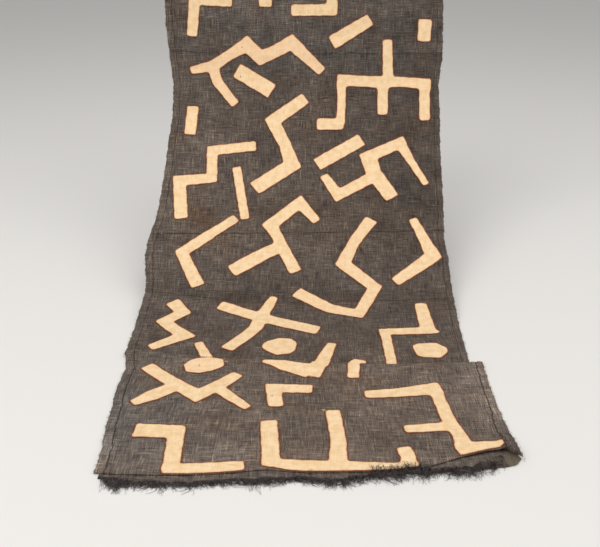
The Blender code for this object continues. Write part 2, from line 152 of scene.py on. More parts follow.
# Each strand: its points, the greatest length, how far it curls aside (mm) and how much it winds (radians)
STRAND_STEPS = 7
LONGEST_STRAND = 30.0
CURL = (0.8, 3.2)
CURL_TURNS = (4.0, 11.0)
STRAND_ENDS = (235.0, 275.0)

# Stray strands that curl back over the front edge: from across, to across (mm), how many
STRAYS = [(94, 168, 60), (5, 9, 5), (-262, -180, 4)]

# The rise of the front panel over the panel it laps, over the strip and at its right corner (mm)
GAP = 0.3
SEAM_GAP = 0.04
LAP_DEPTH = 13.0
LAP_LIFT = 2.6
LAP_LEVEL = 16.0
LAP_SLOPE = 14.0
STRIP_THICK = 1.2
STRIP_RISE = (1258.0, 1288.0)
CORNER_LIFT = 5.0
CORNER_ACROSS = (170.0, 300.0)
CORNER_DOWN = (1235.0, 1320.0)

# The rise of the hanging cloth: creases along two seams, and curled, wavy side edges (mm)
CREASES = [(229, 2.0, 28), (661, 2.0, 24)]
HALF_WIDTH = 300.0
EDGE_CURL = 3.0
EDGE_RIPPLE = 1.6
RIPPLE_PITCH = 168.0
STILL = (860.0, 940.0)

# Soft folds: both ends (across, down), height and half width (mm)
FOLDS = [
    ((-300, 258), (-170, 240), 1.5, 11),
    ((-296, 318), (-205, 306), 1.1, 10),
    ((300, 268), (196, 248), 1.2, 11),
    ((-318, 688), (-196, 672), 1.6, 13),
    ((-320, 742), (-236, 724), 1.1, 11),
    ((292, 704), (176, 682), 1.3, 12),
    ((-40, 452), (150, 470), 0.8, 22),
    ((-60, 905), (130, 926), 0.9, 18),
    ((-250, 1118), (-120, 1148), 0.8, 15),
    ((176, 1176), (290, 1206), 0.9, 14),
    ((-120, 1292), (20, 1280), 0.7, 16),
    ((-280, 1316), (-220, 1270), 0.9, 12),
]
COCKLE = 0.5
COCKLE_PITCH = 96.0

# Thickness and detail of the sewn cloth (mm)
EDGE_WAVE = 0.8
EDGE_WAVE_PITCH = 37.0
EDGE_BUMP = 0.55
EDGE_BUMP_PITCH = 12.5
HEM_PUFF = 0.35
HEM_PUCKER = {"upper": 0.4, "front": 0.75}
PUCKER_PITCH = 12.0
ROLL = 5.0
ROLL_ACROSS = (210.0, 285.0)
ROLL_DOWN = (1215.0, 1290.0)
ROLL_PITCH = 10.0
STITCH_LINES = (15.0, 12.5)
GROOVE_DEPTH = 0.55
GROOVE_HALF = 0.8
CORNER_HEM = 6.0
CORNER_HEM_DOWN = (1185.0, 1250.0)
SEAM_PUCKER = 0.45
SEAM_WAVE = 0.9
SEAM_WAVE_PITCH = 61.0
SEAM_STEP = 5.0
RIM = 0.9
RIM_STEPS = [0.0, 0.25, 0.6, 1.1, 2.2]
HEM_STEPS = RIM_STEPS + [4.2, 6.3, 8.4, 10.5, 11.7, 12.5, 13.4, 14.2, 15.0, 16.2, 17.8, 19.3, 20.3, 21.4]
ROW_PITCH = 3.1
COLUMN_PITCH = 3.9

# Stitches along the side hems: panels, from down, to down (mm); and their pitch there and along the seams
HEM_STITCHES = [("upper", 24.0, 1040.0), ("front", 1068.0, 1345.0)]
HEM_STITCH_PITCH = 7.4
SEAM_STITCH_PITCH = 6.2

# Loose threads of the side edges: panels, from down, to down (mm), how many; and how many along the lap
FRAYS = [("upper", 4.0, 1040.0, 420), ("front", 1062.0, 1345.0, 150)]
LAP_FRAYS = 260

# Appliqué cloth (mm)
PATCH_GRID = 2.0
PATCH_INSET = 0.9
PATCH_FOLD = 0.3
PATCH_FOLD_AT = 2.4
PATCH_FOLD_HALF = 1.7
PATCH_PUFF = 0.12
PATCH_PUFF_PITCH = 17.0
PATCH_GAP = 0.2
PATCH_WAVE = 0.6
PATCH_WAVE_PITCHES = (33.0, 29.0)
PATCH_RIPPLE = 0.4
PATCH_RIPPLE_PITCH = 12.0
CROTCH = 3.0

# The rounded rim of a shape, ring by ring: distance outside the edge (mm), share of the thickness
RIM_RINGS = [(-0.35, 0.9), (0.0, 0.55), (0.0, 0.15)]

# Appliqué: name, and its bands as strokes of (across, down, width) in mm
APPLIQUE = [
    ("angle_top_left", [[(-156, 121, 26), (-239, 117, 26), (-247, 196, 25)]]),
    ("bar_top", [[(-84, 62, 30), (-85, 134, 30)]]),
    ("foot_top", [[(-30, 140, 26), (61, 139, 26), (61, 72, 24)]]),
    ("bar_slant_top", [[(60, 210, 33), (146, 159, 28)]]),
    ("block_top_right", [[(265, 158, 31), (263, 207, 30)]]),
    ("forked_zigzag", [
        [
            (-252, 270, 17), (-201, 260, 26), (-165, 236, 24), (-127, 212, 32), (-96, 242, 31),
            (-62, 227, 29), (-28, 208, 32), (41, 273, 22),
        ],
        [(-201, 260, 26), (-193, 292, 24), (-151, 347, 21)],
    ]),
    ("bar_slant_left", [[(-150, 268, 35), (-70, 316, 36)]]),
    ("trident", [
        [(72, 290, 28), (130, 293, 26), (179, 295, 28), (210, 294, 24), (281, 300, 26)],
        [(82, 291, 22), (83, 336, 20), (80, 391, 21)],
        [(27, 391, 29), (88, 391, 28)],
        [(183, 201, 23), (186, 298, 25)],
        [(174, 298, 25), (173, 370, 25)],
        [(266, 300, 25), (265, 384, 25)],
    ]),
    ("bar_left", [[(-245, 349, 27), (-250, 418, 27)]]),
    ("bend_middle", [[(4, 330, 29), (-69, 384, 31), (-41, 441, 28), (-25, 489, 35), (-107, 549, 36)]]),
    ("bar_slant_middle", [[(27, 490, 32), (127, 427, 32)]]),
    ("stair", [[(-104, 443, 25), (-200, 455, 25), (-198, 522, 25), (-267, 530, 29), (-257, 626, 30)]]),
    ("bar_thin", [[(-146, 494, 21), (-123, 627, 21)]]),
    ("hooked_fork", [
        [(42, 514, 21), (72, 565, 27), (150, 518, 28)],
        [(139, 464, 38), (150, 508, 35), (188, 573, 33)],
        [(124, 477, 29), (211, 436, 27), (232, 481, 19), (262, 540, 16)],
    ]),
    ("bend_with_arm", [
        [(28, 633, 21), (-8, 583, 27), (-71, 642, 30), (-58, 664, 25), (-16, 760, 28)],
        [(-42, 691, 28), (-79, 712, 31), (-113, 735, 34), (-147, 759, 32)],
    ]),
    ("corner_left", [[(-141, 622, 23), (-249, 711, 26), (-209, 798, 30)]]),
    ("long_bend", [
        [
            (142, 625, 30), (103, 684, 25), (79, 737, 30), (140, 799, 27), (104, 880, 26), (50, 863, 29),
            (-16, 812, 31),
        ],
    ]),
    ("chevron_right", [[(227, 623, 20), (249, 684, 25), (263, 719, 32), (180, 786, 25)]]),
    ("small_zigzag", [
        [(-256, 842, 32), (-230, 878, 27), (-262, 909, 26), (-216, 960, 31), (-274, 1005, 23)],
    ]),
    ("cross_middle", [
        [(-164, 852, 29), (-83, 893, 29), (28, 941, 31)],
        [(-57, 826, 18), (-80, 886, 28), (-89, 930, 28), (-109, 966, 28), (-138, 1010, 28)],
    ]),
    ("lozenge_middle", [[(-75, 995, 12), (-66, 996, 36), (-48, 999, 62), (-24, 998, 57), (-13, 999, 30)]]),
    ("post_left", [[(-190, 984, 18), (-165, 1046, 22)]]),
    ("lozenge_left", [[(-203, 1076, 26), (-183, 1069, 47), (-160, 1062, 45), (-136, 1059, 20)]]),
    ("check", [
        [(51, 986, 18), (38, 1030, 25), (27, 1070, 30)],
        [(-72, 1054, 10), (-41, 1063, 28), (-5, 1079, 38), (12, 1084, 46)],
        [(29, 1056, 28), (12, 1101, 31)],
    ]),
    ("wedge", [[(78, 1055, 8), (89, 1052, 22), (108, 1055, 12)], [(86, 1056, 22), (82, 1106, 22)]]),
    ("stepped_bar", [
        [(225, 847, 25), (229, 925, 30), (230, 941, 30)],
        [(250, 945, 8), (228, 939, 27), (137, 945, 24)],
        [(149, 945, 20), (151, 1072, 20)],
    ]),
    ("lozenge_right", [
        [(194, 1013, 36), (202, 1012, 47), (222, 1012, 54), (238, 1011, 54), (254, 1011, 16)],
    ]),
    ("double_cross", [
        [(-269, 1067, 27), (-225, 1112, 28), (-172, 1161, 30), (-135, 1124, 29), (-109, 1092, 23)],
        [(-273, 1183, 18), (-243, 1159, 32), (-207, 1130, 28)],
        [(-141, 1138, 25), (-87, 1196, 17)],
    ]),
    ("angle_middle", [[(15, 1140, 26), (-50, 1137, 27), (-44, 1192, 26)]]),
    ("comb_right", [
        [(97, 1156, 23), (154, 1150, 27), (225, 1136, 38)],
        [(212, 1133, 22), (221, 1223, 24), (232, 1270, 24), (233, 1307, 28)],
        [(150, 1252, 21), (220, 1244, 24)],
        [(220, 1306, 33), (291, 1294, 16)],
    ]),
    ("stepped_angle_left", [
        [(-256, 1256, 37), (-180, 1261, 36)],
        [(-191, 1248, 27), (-187, 1350, 26)],
        [(-200, 1355, 28), (-83, 1343, 23)],
    ]),
    ("long_comb", [
        [(-54, 1229, 28), (-46, 1341, 28)],
        [(-61, 1334, 18), (-6, 1343, 27), (57, 1345, 27), (120, 1346, 22), (165, 1342, 12)],
        [(45, 1200, 25), (51, 1282, 25), (48, 1341, 29)],
        [(145, 1298, 24), (149, 1322, 24), (149, 1343, 27)],
    ]),
]

# Shapes that are cut from a slightly pinker cloth: name, how much pinker
PINKER = {
    "forked_zigzag": 0.45,
    "lozenge_left": 0.35,
    "lozenge_middle": 0.15,
    "long_bend": 0.2,
    "trident": 0.1,
}

# Shapes whose lower end is tucked under the lap
TUCKED = ("post_left", "stepped_bar")

# Shapes with rounder corners than the others
ROUNDER = ("trident", "comb_right", "bend_with_arm", "small_zigzag", "cross_middle", "foot_top")

# Where loose cream threads stick out of the appliqué: across, down (mm)
TUFTS = [(-133, 1058), (31, 1203), (12, 1102)]
TUFT_THREADS = 12
TUFT_SPREAD = 1.5
TUFT_REACH = 4.5

# Knots and stains in the appliqué: across, down, half length, half height (mm), strength
FLECKS = [
    (-137, 219, 1.2, 2.2, 0.7),
    (-141, 283, 1.0, 3.0, 0.8),
    (-178, 1066, 1.3, 2.0, 0.75),
    (-51, 1161, 1.0, 1.8, 0.7),
    (-102, 1342, 8.0, 1.5, 0.3),
    (-212, 786, 1.2, 2.4, 0.5),
    (-147, 628, 13.0, 9.0, 0.15),
]

# Lighter and darker places in the ground: across, down, half length, half height (mm), how much lighter.
# Some are the cloth's own tone; the dark bands along the seams and the dark place by the rolled front corner
# are painted shade.
GROUND_TONE_AND_SHADE = [
    (0, 125, 330, 40, 0.24),
    (266, 221, 44, 15, 0.3),
    (-301, 200, 9, 16, 0.4),
    (-85, 300, 60, 110, -0.12),
    (250, 300, 60, 40, -0.08),
    (340, 400, 300, 440, -0.2),
    (-200, 425, 54, 24, 0.38),
    (-88, 445, 60, 40, -0.2),
    (-250, 540, 110, 130, 0.12),
    (235, 560, 50, 80, -0.18),
    (-40, 600, 220, 26, -0.08),
    (-255, 600, 40, 40, 0.15),
    (-255, 663, 46, 3.0, -0.4),
    (-160, 690, 60, 36, 0.2),
    (-285, 700, 40, 16, 0.2),
    (-40, 800, 200, 34, -0.12),
    (0, 824, 310, 20, -0.18),
    (180, 858, 60, 24, -0.2),
    (125, 1020, 44, 46, 0.18),
    (288, 1140, 46, 100, 0.35),
    (-300, 1130, 14, 80, -0.22),
    (20, 1190, 30, 100, -0.2),
    (100, 1180, 24, 24, 0.2),
    (110, 1285, 90, 28, -0.15),
    (-130, 1325, 170, 34, 0.27),
    (-292, 1312, 20, 48, 0.45),
    (300, 1290, 16, 36, -0.2),
]

# Bluer and browner places in the ground: across, down, half length, half height (mm), how much bluer
TINTS = [
    (0, 180, 340, 130, 0.05),
    (0, 640, 330, 90, -0.04),
    (80, 1160, 200, 260, -0.035),
    (-290, 1220, 110, 130, 0.06),
]

# Brown stains in the ground: across, down, half length, half height (mm), strength
STAINS = [(-213, 622, 34, 30, 0.6)]

# The ground's colours against thread tone
GROUND_STOPS = [(0.3, "dark"), (0.48, "middle"), (0.66, "light"), (0.82, "slub")]

# The lights: name, place (m), size (m), power (W)
LIGHTS = [
    ("key light", (-1.5, -2.0, 1.7), 2.2, 46.0),
    ("fill light", (1.9, -1.6, 1.1), 2.4, 22.0),
    ("top light", (0.2, -0.2, 2.6), 2.0, 20.0),
]
LIGHT_AIM = (0.0, -0.45, -0.4)
SKY_COLOUR = (240, 240, 242)
SKY_STRENGTH = 0.55
FLOOR_HALF = 14.0

# The camera, and the photograph's frame (px)
PHOTO_WIDTH = 600
FOCAL_PX = 850.0
SENSOR_MM = 36.0
CAMERA_BACK = 1.941
CAMERA_HEIGHT = 0.7461
CAMERA_DOWN = 24.4553
CAMERA_LEFT = 0.2236
CAMERA_ACROSS = -0.0017


def paint(red, green, blue):
    """A colour seen on a screen, 0 to 255, as the linear light that shaders use."""
    share = np.array([red, green, blue]) / 255.0
    light = np.where(share <= 0.04045, share / 12.92, ((share + 0.055) / 1.055) ** 2.4)
    return tuple(float(c) for c in light)


# Arithmetic on the flat cloth


def soft_step(value, low, high):
    """0 below low, 1 above high and a smooth rise between."""
    share = np.clip((value - low) / (high - low), 0.0, 1.0)
    return share * share * (3.0 - 2.0 * share)


def along(table, at, column=1):
    """A column of a table, read at a distance between its rows."""
    rows = np.array(table, float)
    return np.interp(at, rows[:, 0], rows[:, column])


def smooth_along(table, at, column=1, reach=9.0):
    """The same, averaged a little to both sides, which rounds the table's corners."""
    sides = along(table, at - reach, column) + along(table, at + reach, column)
    return (sides + 2.0 * along(table, at, column)) / 4.0


def wander(at, pitch, seed):
    """A smooth irregular wave between about -1 and 1: three sines of unlike pitch."""
    turn = 2.0 * math.pi * np.asarray(at, float) / pitch
    waves = np.sin(turn + seed)
    for size, faster, shift in ((0.6, 1.618, 2.3), (0.4, 2.79, 4.1)):
        waves = waves + size * np.sin(faster * turn + shift * seed)
    return waves / 1.6


def wavy(table, seed):
    """A line across the cloth with small waves along it."""
    across = np.arange(table[0][0], table[-1][0] + 1.0, SEAM_STEP)
    long, short = wander(across, SEAM_WAVE_PITCH, seed), wander(across, 0.3 * SEAM_WAVE_PITCH, seed)
    waves = SEAM_WAVE * (long + 0.4 * short)
    return np.stack([across, smooth_along(table, across, 1, 25.0) + waves], axis=-1).tolist()


SEAMS = [wavy(table, seed) for seed, table in enumerate(SEAM_TABLES)]


def sweep_line():
    """The underside's line from top to floor: each step goes out and down by its cosine and sine."""
    step = 1.0
    down = np.arange(0.0, SWEEP[-1][0] + step, step)
    steep = np.radians(along(SWEEP, down))
    middle = (steep[1:] + steep[:-1]) / 2.0
    out = np.concatenate([[0.0], np.cumsum(np.cos(middle) * step)])
    drop = np.concatenate([[0.0], np.cumsum(np.sin(middle) * step)])
    return down, out, drop, steep


SWEEP_LINE = sweep_line()


def side_edges(down, kind):
    """The left and right edge at a distance down, each with small waves of its own."""
    left, right = smooth_along(SIDES[kind], down), smooth_along(SIDES[kind], down, 2)
    for size, pitch in ((EDGE_WAVE, EDGE_WAVE_PITCH), (EDGE_BUMP, EDGE_BUMP_PITCH)):
        left = left + size * wander(down, pitch, 1.0)
        right = right + size * wander(down, pitch, 4.0)
    return left, right


def folds(across, down):
    """Soft ridges along short lines: height times a bell curve of the distance to the line."""
    rise = np.zeros_like(across)
    for (x0, y0), (x1, y1), height, half in FOLDS:
        run = np.array([x1 - x0, y1 - y0], float)
        share = np.clip(((across - x0) * run[0] + (down - y0) * run[1]) / (run @ run), 0.0, 1.0)
        gap = np.hypot(across - x0 - share * run[0], down - y0 - share * run[1])
        rise += height * np.sin(math.pi * np.clip(share, 0.08, 0.92)) * np.exp(-((gap / half) ** 2))
    return rise


def cockle(across, down):
    """The cloth's slight unevenness: a product of two wandering waves, kept above zero."""
    first = wander(across + 0.3 * down, COCKLE_PITCH, 2.0)
    second = wander(down - 0.2 * across, 1.3 * COCKLE_PITCH, 5.0)
    return COCKLE * (1.0 + first * second) / 2.0


def upper_rise(across, down):
    """How far the upper panels stand out from the plain sweep."""
    hung = 1.0 - soft_step(down, *STILL)
    at_edge = (np.abs(across) / HALF_WIDTH) ** 4
    waves = EDGE_RIPPLE * np.sin(2.0 * math.pi * down / RIPPLE_PITCH + np.sign(across))
    creases = sum(high * np.exp(-(((down - at) / half) ** 2)) for at, high, half in CREASES)
    puckers = sum(np.exp(-(((down - along(seam, across)) / 7.0) ** 2)) for seam in SEAMS)
    loose = 1.0 - soft_step(down - along(LAP_LINE, across), -30.0, -6.0)
    puckers = SEAM_PUCKER * puckers * (1.0 + wander(across, 9.0, 3.0))
    small = folds(across, down) + cockle(across, down) + puckers
    return hung * (creases + at_edge * (EDGE_CURL + waves)) + loose * small


def front_rise(across, down):
    """How far the front panel is off the floor: over the lap, over the strip, and at its corner."""
    below_lap = down - along(LAP_LINE, across)
    over_lap = LAP_LIFT * (1.0 - soft_step(below_lap, LAP_LEVEL, LAP_LEVEL + LAP_SLOPE))
    over_strip = (STRIP_THICK + GAP) * np.interp(down, STRIP_RISE, [0.0, 1.0])
    corner = CORNER_LIFT * soft_step(across, *CORNER_ACROSS) * soft_step(down, *CORNER_DOWN)
    small = soft_step(below_lap, 4.0, 40.0) * (folds(across, down) + cockle(across, down))
    return over_lap + over_strip + corner + small


RISES = {"upper": upper_rise, "front": front_rise}


def strip_rise(across, down):
    """How far the strip is off the floor: wavy where it comes out from under the cloth."""
    beyond = down - along(FRONT_LINE, across)
    return soft_step(beyond, *STRIP_WAVE_FROM) * (1.0 + wander(across, STRIP_WAVE_PITCH, 2.0)) * STRIP_WAVE


def hem_distance(across, down, kind):
    """How far a place is inside the nearest hemmed edge."""
    left, right = side_edges(down, kind)
    inward = np.minimum(across - left, right - across)
    return np.minimum(inward, down) if kind == "upper" else inward


def corner_hem(across, down):
    """How much wider the right hem is towards the front corner."""
    return CORNER_HEM * (across > 0.0) * soft_step(down, *CORNER_HEM_DOWN)


def stitch_line(across, down):
    """How far inside the hemmed edge the running stitches are."""
    return np.where(across < 0.0, *STITCH_LINES) + corner_hem(across, down)


def thickness(across, down, kind, sizes):
    """The panel's thickness: ground cloth, and on the hems a second layer, puckered and stitched."""
    inward = hem_distance(across, down, kind)
    width = sizes["hem_width"] + corner_hem(across, down)
    in_hem = 1.0 - soft_step(inward, width - 0.7, width + 0.9)
    where = down + across
    line = stitch_line(across, down)
    puff = HEM_PUFF * np.sin(math.pi * np.clip(inward / line, 0.0, 1.0))
    arch = np.sin(math.pi * np.clip(inward / width, 0.0, 1.0))
    pucker = HEM_PUCKER[kind] * wander(where, PUCKER_PITCH, 2.0) * arch
    groove = GROOVE_DEPTH * np.exp(-(((inward - line) / GROOVE_HALF) ** 2))
    groove = groove * (0.75 + 0.25 * np.cos(where * 0.9))
    if kind == "upper":
        free = 1.0 - soft_step(down - along(LAP_LINE, across), -24.0, -3.0)
        roll = 0.0
    else:
        free = 1.0
        roll = ROLL * soft_step(across, *ROLL_ACROSS) * soft_step(down, *ROLL_DOWN)
        roll = roll * arch * (1.0 + 0.3 * wander(down, ROLL_PITCH, 1.0))
    return sizes["ground_thick"] + in_hem * (sizes["hem_rise"] + roll + free * (puff + pucker - groove))


def cloth_top(across, down, sizes):
    """The height of the uppermost ground cloth above the plain sweep, with a soft step at the lap."""
    upper = upper_top(across, down, sizes)
    front = front_rise(across, down) + thickness(across, down, "front", sizes)
    share = soft_step(down - along(LAP_LINE, across), -3.0, 1.5)
    return upper + share * (front - upper)


def upper_top(across, down, sizes):
    """The height of the upper panels' top side above the plain sweep."""
    return upper_rise(across, down) + thickness(across, down, "upper", sizes)


def lay(across, down, height):
    """Flat places and heights above the plain sweep, as hung places in metres."""
    out, drop, steep = (np.interp(down, SWEEP_LINE[0], line) for line in SWEEP_LINE[1:])
    return np.stack([across, -out - np.sin(steep) * height, -drop + np.cos(steep) * height], axis=-1) * MM


# Meshes


def make_mesh(name, points, faces, flat=None, **attributes):
    """A smooth-shaded piece at the origin, with its flat places as a UV map and any point values."""
    mesh = bpy.data.meshes.new(name)
    mesh.from_pydata(points.reshape(-1, 3).tolist(), [], faces)
    if flat is not None:
        corners = np.empty(len(mesh.loops), dtype=np.int32)
        mesh.loops.foreach_get("vertex_index", corners)
        layer = mesh.uv_layers.new(name="flat")
        layer.data.foreach_set("uv", (flat.reshape(-1, 2)[corners] * MM).astype(np.float32).ravel())
    for key, values in attributes.items():
        layer = mesh.attributes.new(key, "FLOAT", "POINT")
        layer.data.foreach_set("value", np.asarray(values, np.float32).ravel())
    mesh.shade_smooth()
    piece = bpy.data.objects.new(name, mesh)
    bpy.context.scene.collection.objects.link(piece)
    return piece


def finish_piece(piece, material, nodes=()):
    """Gives a piece its material and slot, sets it on the body and hides the nodes it stands for."""
    piece.data.materials.append(material)
    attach(piece, "root")
    if nodes:
        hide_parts(*nodes)
    return piece


def shell(top, bottom):
    """Points and faces of a closed shell between two grids that share their outer ring."""
    rows, cols = top.shape[:2]
    upper = np.arange(rows * cols).reshape(rows, cols)
    lower = upper.copy()
    lower[1:-1, 1:-1] = rows * cols + np.arange((rows - 2) * (cols - 2)).reshape(rows - 2, cols - 2)
    points = np.concatenate([top.reshape(-1, top.shape[-1]), bottom[1:-1, 1:-1].reshape(-1, top.shape[-1])])
    up = np.stack([upper[:-1, :-1], upper[1:, :-1], upper[1:, 1:], upper[:-1, 1:]], -1).reshape(-1, 4)
    under = np.stack([lower[:-1, :-1], lower[:-1, 1:], lower[1:, 1:], lower[1:, :-1]], -1).reshape(-1, 4)
    return points, np.concatenate([up, under]).tolist()


def spread(length, pitch):
    """Distances from 0 to length: close together at both ends and even between."""
    steps = np.array(RIM_STEPS)
    count = max(int(round((length - 2.0 * steps[-1]) / pitch)), 1)
    inner = np.linspace(steps[-1], length - steps[-1], count + 1)
    return np.concatenate([steps[:-1], inner, length - steps[:-1][::-1]])


def sheet_between(top_line, bottom_line, kind):
    """A grid of flat places between two lines across the cloth and the two side edges.

    Down runs evenly from the top line to the bottom line. Across keeps to fixed distances from the edges
    within the hems, and is even between them.
    """
    hem = np.array(HEM_STEPS)
    middle = np.linspace(-280, 280, 9)
    length = float(np.mean(along(bottom_line, middle) - along(top_line, middle)))
    share = spread(length, ROW_PITCH)[:, None] / length
    count = int(round((2.0 * HALF_WIDTH - 2.0 * hem[-1]) / COLUMN_PITCH))
    even = np.linspace(0.0, 1.0, count + 1)[None, 1:-1]
    down = np.full((len(share), 2 * len(hem) + count - 1), 0.0)
    across = np.broadcast_to(np.linspace(-HALF_WIDTH, HALF_WIDTH, down.shape[1])[None], down.shape)
    for _ in range(4):
        down = along(top_line, across) * (1.0 - share) + along(bottom_line, across) * share
        left, right = side_edges(down, kind)
        inner_left, inner_right = left[:, :1] + hem[-1], right[:, -1:] - hem[-1]
        across = np.concatenate(
            [
                left[:, : len(hem)] + hem[None],
                inner_left + (inner_right - inner_left) * even,
                right[:, -len(hem) :] - hem[None, ::-1],
            ],
            axis=1,
        )
    length_here = along(bottom_line, across) - along(top_line, across)
    inside = np.minimum(share, 1.0 - share) * length_here
    left, right = side_edges(down, kind)
    inside = np.minimum(inside, np.minimum(across - left, right - across))
    return across, down, np.maximum(inside, 0.0)


def round_rim(inside, rim):
    """0 at the rim and 1 from the rim's radius inwards, as a quarter circle."""
    short = 1.0 - np.clip(inside / rim, 0.0, 1.0)
    return np.sqrt(1.0 - short * short)


def make_panel(number, top_line, bottom_line, kind, material, sizes):
    """One ground panel: two skins over the sweep, which meet in a rounded rim."""
    across, down, inside = sheet_between(top_line, bottom_line, kind)
    rise = RISES[kind](across, down)
    thick = thickness(across, down, kind, sizes)
    full = round_rim(inside, RIM)
    top = lay(across, down, rise + thick * (0.5 + 0.5 * full))
    bottom = lay(across, down, rise + thick * (0.5 - 0.5 * full))
    points, faces = shell(top, bottom)
    flat = shell(np.stack([across, down], -1), np.stack([across, down], -1))[0]
    inward = hem_distance(across, down, kind)
    hem = shell(inward[..., None], inward[..., None])[0]
    end = np.minimum(down - down[:1], down[-1:] - down)[..., None]
    piece = make_mesh(f"panel_{number}", points, faces, flat, hem=hem, end=shell(end, end)[0])
    return finish_piece(piece, material, [f"ground_{number}"])


# Appliqué outlines


def band(stroke):
    """The outline of a band along a stroke, with square ends and mitred bends."""
    points = np.array([p[:2] for p in stroke], float)
    half = np.array([p[2] for p in stroke], float) / 2.0
    steps = np.diff(points, axis=0)
    steps /= np.linalg.norm(steps, axis=1)[:, None]
    before = np.concatenate([steps[:1], steps])
    after = np.concatenate([steps, steps[-1:]])
    bisector = before + after
    bisector /= np.linalg.norm(bisector, axis=1)[:, None]
    stretch = 1.0 / np.maximum((bisector * after).sum(axis=1), 0.55)
    sideways = np.stack([-bisector[:, 1], bisector[:, 0]], axis=1) * (half * stretch)[:, None]
    return np.concatenate([points + sideways, (points - sideways)[::-1]])


def polygon_distance(points, polygon):
    """The distance from each point to a polygon's outline, negative inside it."""
    start, end = polygon, np.roll(polygon, -1, axis=0)
    run = end - start
    offset = points[:, None, :] - start[None]
    share = np.clip((offset * run).sum(-1) / (run * run).sum(-1), 0.0, 1.0)
    gap = np.linalg.norm(offset - share[..., None] * run, axis=-1).min(axis=1)
    above = start[None, :, 1] > points[:, None, 1]
    next_above = end[None, :, 1] > points[:, None, 1]
    slope = (end[:, 0] - start[:, 0]) / np.where(run[:, 1] == 0.0, 1.0, run[:, 1])
    meets = start[None, :, 0] + slope * (points[:, None, 1] - start[None, :, 1])
    crossed = (above != next_above) & (points[:, None, 0] < meets)
    inside = crossed.sum(axis=1) % 2 == 1
    return np.where(inside, -gap, gap)


def soften(field):
    """Averages a grid over its neighbours with weights 1, 4, 6, 4, 1 both ways, which rounds corners."""
    weights = np.array([1.0, 4.0, 6.0, 4.0, 1.0]) / 16.0
    for axis in (0, 1):
        wide = np.pad(field, [(2, 2), (0, 0)] if axis == 0 else [(0, 0), (2, 2)], mode="edge")
        size = field.shape[axis]
        field = sum(w * wide.take(np.arange(i, i + size), axis) for i, w in enumerate(weights))
    return field


class Outline:
    """An appliqué shape as a grid of distances to its edge, negative inside."""

    def __init__(self, strokes, grid, passes, tucked):
        outlines = [band(stroke) for stroke in strokes]
        corners = np.concatenate(outlines)
        margin = 4.0 * grid
        self.low = corners.min(axis=0) - margin
        count = np.ceil((corners.max(axis=0) + margin - self.low) / grid).astype(int) + 1
        self.grid = grid
        self.across = self.low[0] + grid * np.arange(count[0])[None, :] + np.zeros((count[1], 1))
        self.down = self.low[1] + grid * np.arange(count[1])[:, None] + np.zeros((1, count[0]))
        wave_x = PATCH_WAVE * wander(self.down + 0.4 * self.across, PATCH_WAVE_PITCHES[0], self.low[0])
        wave_y = PATCH_WAVE * wander(self.across - 0.3 * self.down, PATCH_WAVE_PITCHES[1], self.low[1])
        wave_x += PATCH_RIPPLE * wander(self.down, PATCH_RIPPLE_PITCH, self.low[1])
        wave_y += PATCH_RIPPLE * wander(self.across, PATCH_RIPPLE_PITCH, self.low[0])
        points = np.stack([self.across + wave_x, self.down + wave_y], -1).reshape(-1, 2)
        field = polygon_distance(points, outlines[0])
        for outline in outlines[1:]:
            other = polygon_distance(points, outline)
            close = np.clip(1.0 - np.abs(field - other) / CROTCH, 0.0, 1.0)
            field = np.minimum(field, other) - close * close * CROTCH / 4.0
        field = field.reshape(self.across.shape)
        front_edge = self.down - along(FRONT_LINE, self.across) + 1.0
        field = np.maximum(field, np.where(self.down > 1200.0, front_edge, -1000.0))
        for _ in range(passes):
            field = soften(field)
        if tucked:
            field = np.maximum(field, self.down - along(LAP_LINE, self.across) + 0.5)
        self.field = field
        slope = np.gradient(self.field, grid)
        self.slope_x, self.slope_y = slope[1], slope[0]

    def read(self, grid, points):
        """A grid's value at any flat place, by the four nearest nodes."""
        place = (points - self.low) / self.grid
        limit = np.array(grid.shape[::-1]) - 1.001
        place = np.clip(place, 0.0, limit)
        col, row = place.astype(int).T
        fx, fy = (place - place.astype(int)).T
        top = grid[row, col] * (1.0 - fx) + grid[row, col + 1] * fx
        low = grid[row + 1, col] * (1.0 - fx) + grid[row + 1, col + 1] * fx
        return top * (1.0 - fy) + low * fy

    def outward(self, points):
        """The unit direction away from the shape, and the distance there."""
        slope = np.stack([self.read(self.slope_x, points), self.read(self.slope_y, points)], -1)
        size = np.maximum(np.linalg.norm(slope, axis=1), 1e-6)
        return slope / size[:, None], self.read(self.field, points) / size

    def to_edge(self, points, distance):
        """Moves points along the slope to a given distance from the edge."""
        direction, here = self.outward(points)
        return points + direction * (distance - here)[:, None]


def patch_nodes(outline):
    """The grid's cells inside the shape, as rows of four node numbers, and the boundary's steps."""
    middle = outline.field
    middle = (middle[:-1, :-1] + middle[1:, :-1] + middle[1:, 1:] + middle[:-1, 1:]) / 4.0
    kept = middle < -PATCH_INSET
    for _ in range(3):
        pinch_a = kept[:-1, :-1] & kept[1:, 1:] & ~kept[:-1, 1:] & ~kept[1:, :-1]
        pinch_b = kept[:-1, 1:] & kept[1:, :-1] & ~kept[:-1, :-1] & ~kept[1:, 1:]
        kept[:-1, 1:] |= pinch_a
        kept[:-1, :-1] |= pinch_b
    number = np.arange(outline.field.size).reshape(outline.field.shape)
    cells = np.stack([number[:-1, :-1], number[1:, :-1], number[1:, 1:], number[:-1, 1:]], -1)[kept]
    used, cells = np.unique(cells, return_inverse=True)
    cells = cells.reshape(-1, 4)
    steps = np.concatenate([cells[:, [i, (i + 1) % 4]] for i in range(4)])
    forward = steps[:, 0] * len(used) + steps[:, 1]
    backward = steps[:, 1] * len(used) + steps[:, 0]
    return used, cells, steps[~np.isin(forward, backward)]


